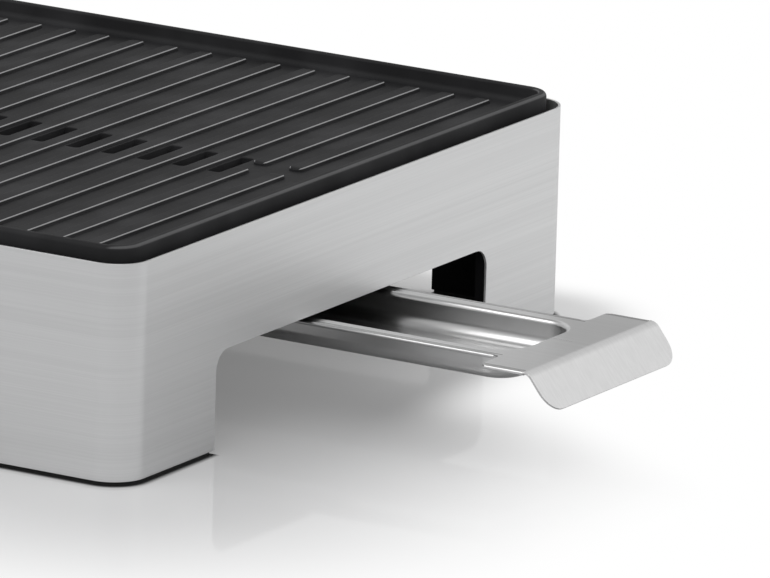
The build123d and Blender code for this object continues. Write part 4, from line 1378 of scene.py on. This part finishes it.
def screw_places(node):
    """X, Y, low end and high end of each screw of a CAD node, found as its separate shells."""
    mesh = bmesh.new()
    mesh.from_mesh(frame["nodes"][node].data)
    bmesh.ops.remove_doubles(mesh, verts=mesh.verts, dist=1e-6)
    left = set(mesh.verts)
    groups = []
    while left:
        todo, group = [left.pop()], []
        while todo:
            vert = todo.pop()
            group.append(vert.co.copy())
            for edge in vert.link_edges:
                other = edge.other_vert(vert)
                if other in left:
                    left.remove(other)
                    todo.append(other)
        groups.append(group)
    mesh.free()
    places = []
    for group in groups:
        low = [min(point[axis] for point in group) for axis in range(3)]
        high = [max(point[axis] for point in group) for axis in range(3)]
        middle = [(low[axis] + high[axis]) / 2 - MIDDLE[axis] for axis in range(2)]
        places.append((middle[0], middle[1], low[2], high[2]))
    return sorted(places)


class GRILL_OT_fasteners(bpy.types.Operator):
    """Draws the screws of the legs, rails and plate supports"""

    bl_idname = "grill.fasteners"
    bl_label = "Fasteners"

    def execute(self, context):
        sizes = context.scene.table_grill.screw
        for node in ("leg_screws", "rail_screws", "support_screws"):
            mesh = draw_screws(node, sizes, node != "support_screws", finish("plated_steel"))
            add_piece(node + "_dressed", mesh, "grill", "plated_steel", (node,), 30.0)
        return {"FINISHED"}


# Finishes on the CAD pieces that keep their shape


class GRILL_OT_finishes(bpy.types.Operator):
    """Makes every finish and puts it on the pieces that keep their shape"""

    bl_idname = "grill.finishes"
    bl_label = "Finishes"

    def execute(self, context):
        settings = context.scene.table_grill
        make_finishes(settings.finish, settings.plate, settings.tray)
        for name, node in frame["nodes"].items():
            node.data.materials.clear()
            node.data.materials.append(finish(SLOT_OF_NODE[name]))
        return {"FINISHED"}


# Table, lamps and camera


def table_top(sizes, leg_x, leg_y, corner):
    """Pale glossy table: it mirrors the grill near its foot and fades to white further off."""
    top = Finish("table_top")
    x, y, _ = top.place()
    half_x, half_y = BAND_SIZE.x / 2, BAND_SIZE.y / 2
    away_x = (abs(x - MIDDLE.x) - (half_x - corner)).most(0.0)
    away_y = (abs(y - MIDDLE.y) - (half_y - corner)).most(0.0)
    away = ((away_x * away_x + away_y * away_y).root() - corner).most(0.0)
    on_leg_x = abs(x - MIDDLE.x) > half_x - leg_x
    on_leg_y = abs(y - MIDDLE.y) > leg_y
    # Painted shadow: the table darkens in a thin band round the legs, and its plain white is held
    # back there
    contact_shadow = on_leg_x * on_leg_y * (1.0 - away.eased(0.0, sizes.contact_reach))
    direct = top.ray_is("Camera")
    # Behind the grill the table turns white sooner
    sooner = 0.14
    behind = (y - MIDDLE.y).eased(-0.05, 0.08) * away.eased(0.0, 0.05) * sooner
    faded = (away + behind).eased(sizes.fade_start, sizes.fade_end)
    # Painted light: a share of plain white shows even next to the grill, lifting the table's shade
    # there
    clear = sizes.floor_lift + faded * (1.0 - sizes.floor_lift)
    white = clear * direct * (1.0 - contact_shadow)
    cloth = top.speckle(60.0, 2.0)
    cloudy = top.blend(cloth * 0.06, tuple(sizes.floor_colour), (1.0, 1.0, 1.0))
    lit_side = (y - MIDDLE.y).eased(-0.12, 0.28)
    pale = top.blend(lit_side, tuple(sizes.floor_shade), cloudy)
    base = {"Color": top.blend(contact_shadow * sizes.contact_dark, pale, (0.0, 0.0, 0.0))}
    diffuse = top.node("ShaderNodeBsdfDiffuse", None, base)
    mirror = top.node("ShaderNodeBsdfGlossy", None, {"Color": WHITE, "Roughness": 0.06})
    lit = top.node("ShaderNodeEmission", None, {"Color": WHITE, "Strength": 1.0})
    inputs = {"Fac": sizes.floor_gloss, "Shader": diffuse, "Shader_001": mirror}
    glossy = top.node("ShaderNodeMixShader", None, inputs)
    inputs = {"Fac": white, "Shader": glossy, "Shader_001": lit}
    mixed = top.node("ShaderNodeMixShader", None, inputs)
    top.node("ShaderNodeOutputMaterial", None, {"Surface": mixed})
    return top.material


def make_floor(sizes, housing):
    reach = sizes.floor_reach
    skin = Skin()
    square = ((1, 1), (-1, 1), (-1, -1), (1, -1))
    skin.fill([skin.ring([(x * reach, y * reach, 0) for x, y in square])], (0, 0, 1))
    mesh = skin.mesh("table_top")
    legs = (housing.side_leg, housing.end_opening / 2, housing.corner_radius)
    mesh.materials.append(table_top(sizes, *legs))
    floor = bpy.data.objects.new("table_top", mesh)
    bpy.context.scene.collection.objects.link(floor)


def make_room(sizes):
    """White all round, with a dark wall and ceiling that only reflections see."""
    world = bpy.data.worlds.new("soft_room")
    bpy.context.scene.world = world
    world.use_nodes = True
    world.node_tree.nodes.clear()
    sky = Nodes(world.node_tree)
    direct = sky.ray_is("Camera")
    gloss = sky.ray_is("Glossy") * (1.0 - direct)
    x, y, z = sky.parts(sky.node("ShaderNodeTexCoord", None, {}, "Generated"))
    toward = (x * sizes.wall_x + y * sizes.wall_y) / (x * x + y * y).root().most(0.001)
    wall_side, wall_top, ceiling_edge = (0.80, 0.97), (0.25, 0.52), (0.52, 0.80)
    wall = toward.eased(*wall_side) * (1.0 - z.eased(*wall_top))
    ceiling = z.eased(*ceiling_edge)
    mirrored = (1.0 - wall * sizes.wall_dark) * (1.0 - ceiling * sizes.ceiling_dark)
    strength = direct + gloss * mirrored + (1.0 - direct - gloss) * sizes.sky
    light = sky.node("ShaderNodeBackground", None, {"Color": WHITE, "Strength": strength})
    sky.node("ShaderNodeOutputWorld", None, {"Surface": light})


def soft_lamp(name, place, target, width, power):
    lamp = bpy.data.lights.new(name, "AREA")
    lamp.shape = "SQUARE"
    lamp.size = width
    lamp.energy = power
    obj = bpy.data.objects.new(name, lamp)
    obj.location = place
    obj.rotation_euler = (Vector(target) - Vector(place)).to_track_quat("-Z", "Y").to_euler()
    bpy.context.scene.collection.objects.link(obj)


def make_camera(sizes):
    camera = bpy.data.cameras.new("photo_camera")
    camera.lens = sizes.lens
    camera.sensor_width = sizes.sensor
    camera.clip_start = 0.1
    camera.clip_end = 100.0
    eye = bpy.data.objects.new("photo_camera", camera)
    right = Vector(sizes.camera_right).normalized()
    back = Vector(sizes.camera_back).normalized()
    turned = Matrix((right, back.cross(right), back)).transposed().to_4x4()
    eye.matrix_world = Matrix.Translation(sizes.camera_place) @ turned
    bpy.context.scene.collection.objects.link(eye)
    bpy.context.scene.camera = eye


class GRILL_OT_stage(bpy.types.Operator):
    """Sets the table top, the soft light and the camera"""

    bl_idname = "grill.stage"
    bl_label = "Table, light and camera"

    def execute(self, context):
        settings = context.scene.table_grill
        sizes = settings.stage
        make_floor(sizes, settings.housing)
        make_room(sizes)
        aim, fill_aim = (0.0, 0.0, 0.05), (0.1, 0.0, 0.05)
        soft_lamp("key_lamp", sizes.key_place, aim, width=1.6, power=sizes.key)
        soft_lamp("fill_lamp", sizes.fill_place, fill_aim, width=1.2, power=sizes.fill)
        make_camera(sizes)
        context.scene.view_settings.view_transform = "Standard"
        return {"FINISHED"}


class GRILL_PT_sidebar(bpy.types.Panel):
    """Lists the steps that dress the grill"""

    bl_idname = "GRILL_PT_sidebar"
    bl_label = "Electric table grill"
    bl_space_type = "VIEW_3D"
    bl_region_type = "UI"
    bl_category = "Table grill"

    def draw(self, context):
        for step in STEPS:
            self.layout.operator(step.bl_idname)


STEPS = (
    GRILL_OT_finishes,
    GRILL_OT_housing,
    GRILL_OT_plate,
    GRILL_OT_tray,
    GRILL_OT_controls,
    GRILL_OT_fasteners,
    GRILL_OT_stage,
)
GROUPS = (
    HousingSizes,
    PlateSizes,
    TraySizes,
    ControlSizes,
    ScrewSizes,
    FinishColours,
    StageSizes,
    GrillSettings,
)


def register():
    for kind in (*GROUPS, *STEPS, GRILL_PT_sidebar):
        bpy.utils.register_class(kind)
    bpy.types.Scene.table_grill = bpy.props.PointerProperty(type=GrillSettings)


def unregister():
    del bpy.types.Scene.table_grill
    for kind in reversed((*GROUPS, *STEPS, GRILL_PT_sidebar)):
        bpy.utils.unregister_class(kind)


def main():
    register()
    for step in STEPS:
        group, name = step.bl_idname.split(".")
        getattr(getattr(bpy.ops, group), name)()


if __name__ == "__main__":
    main()
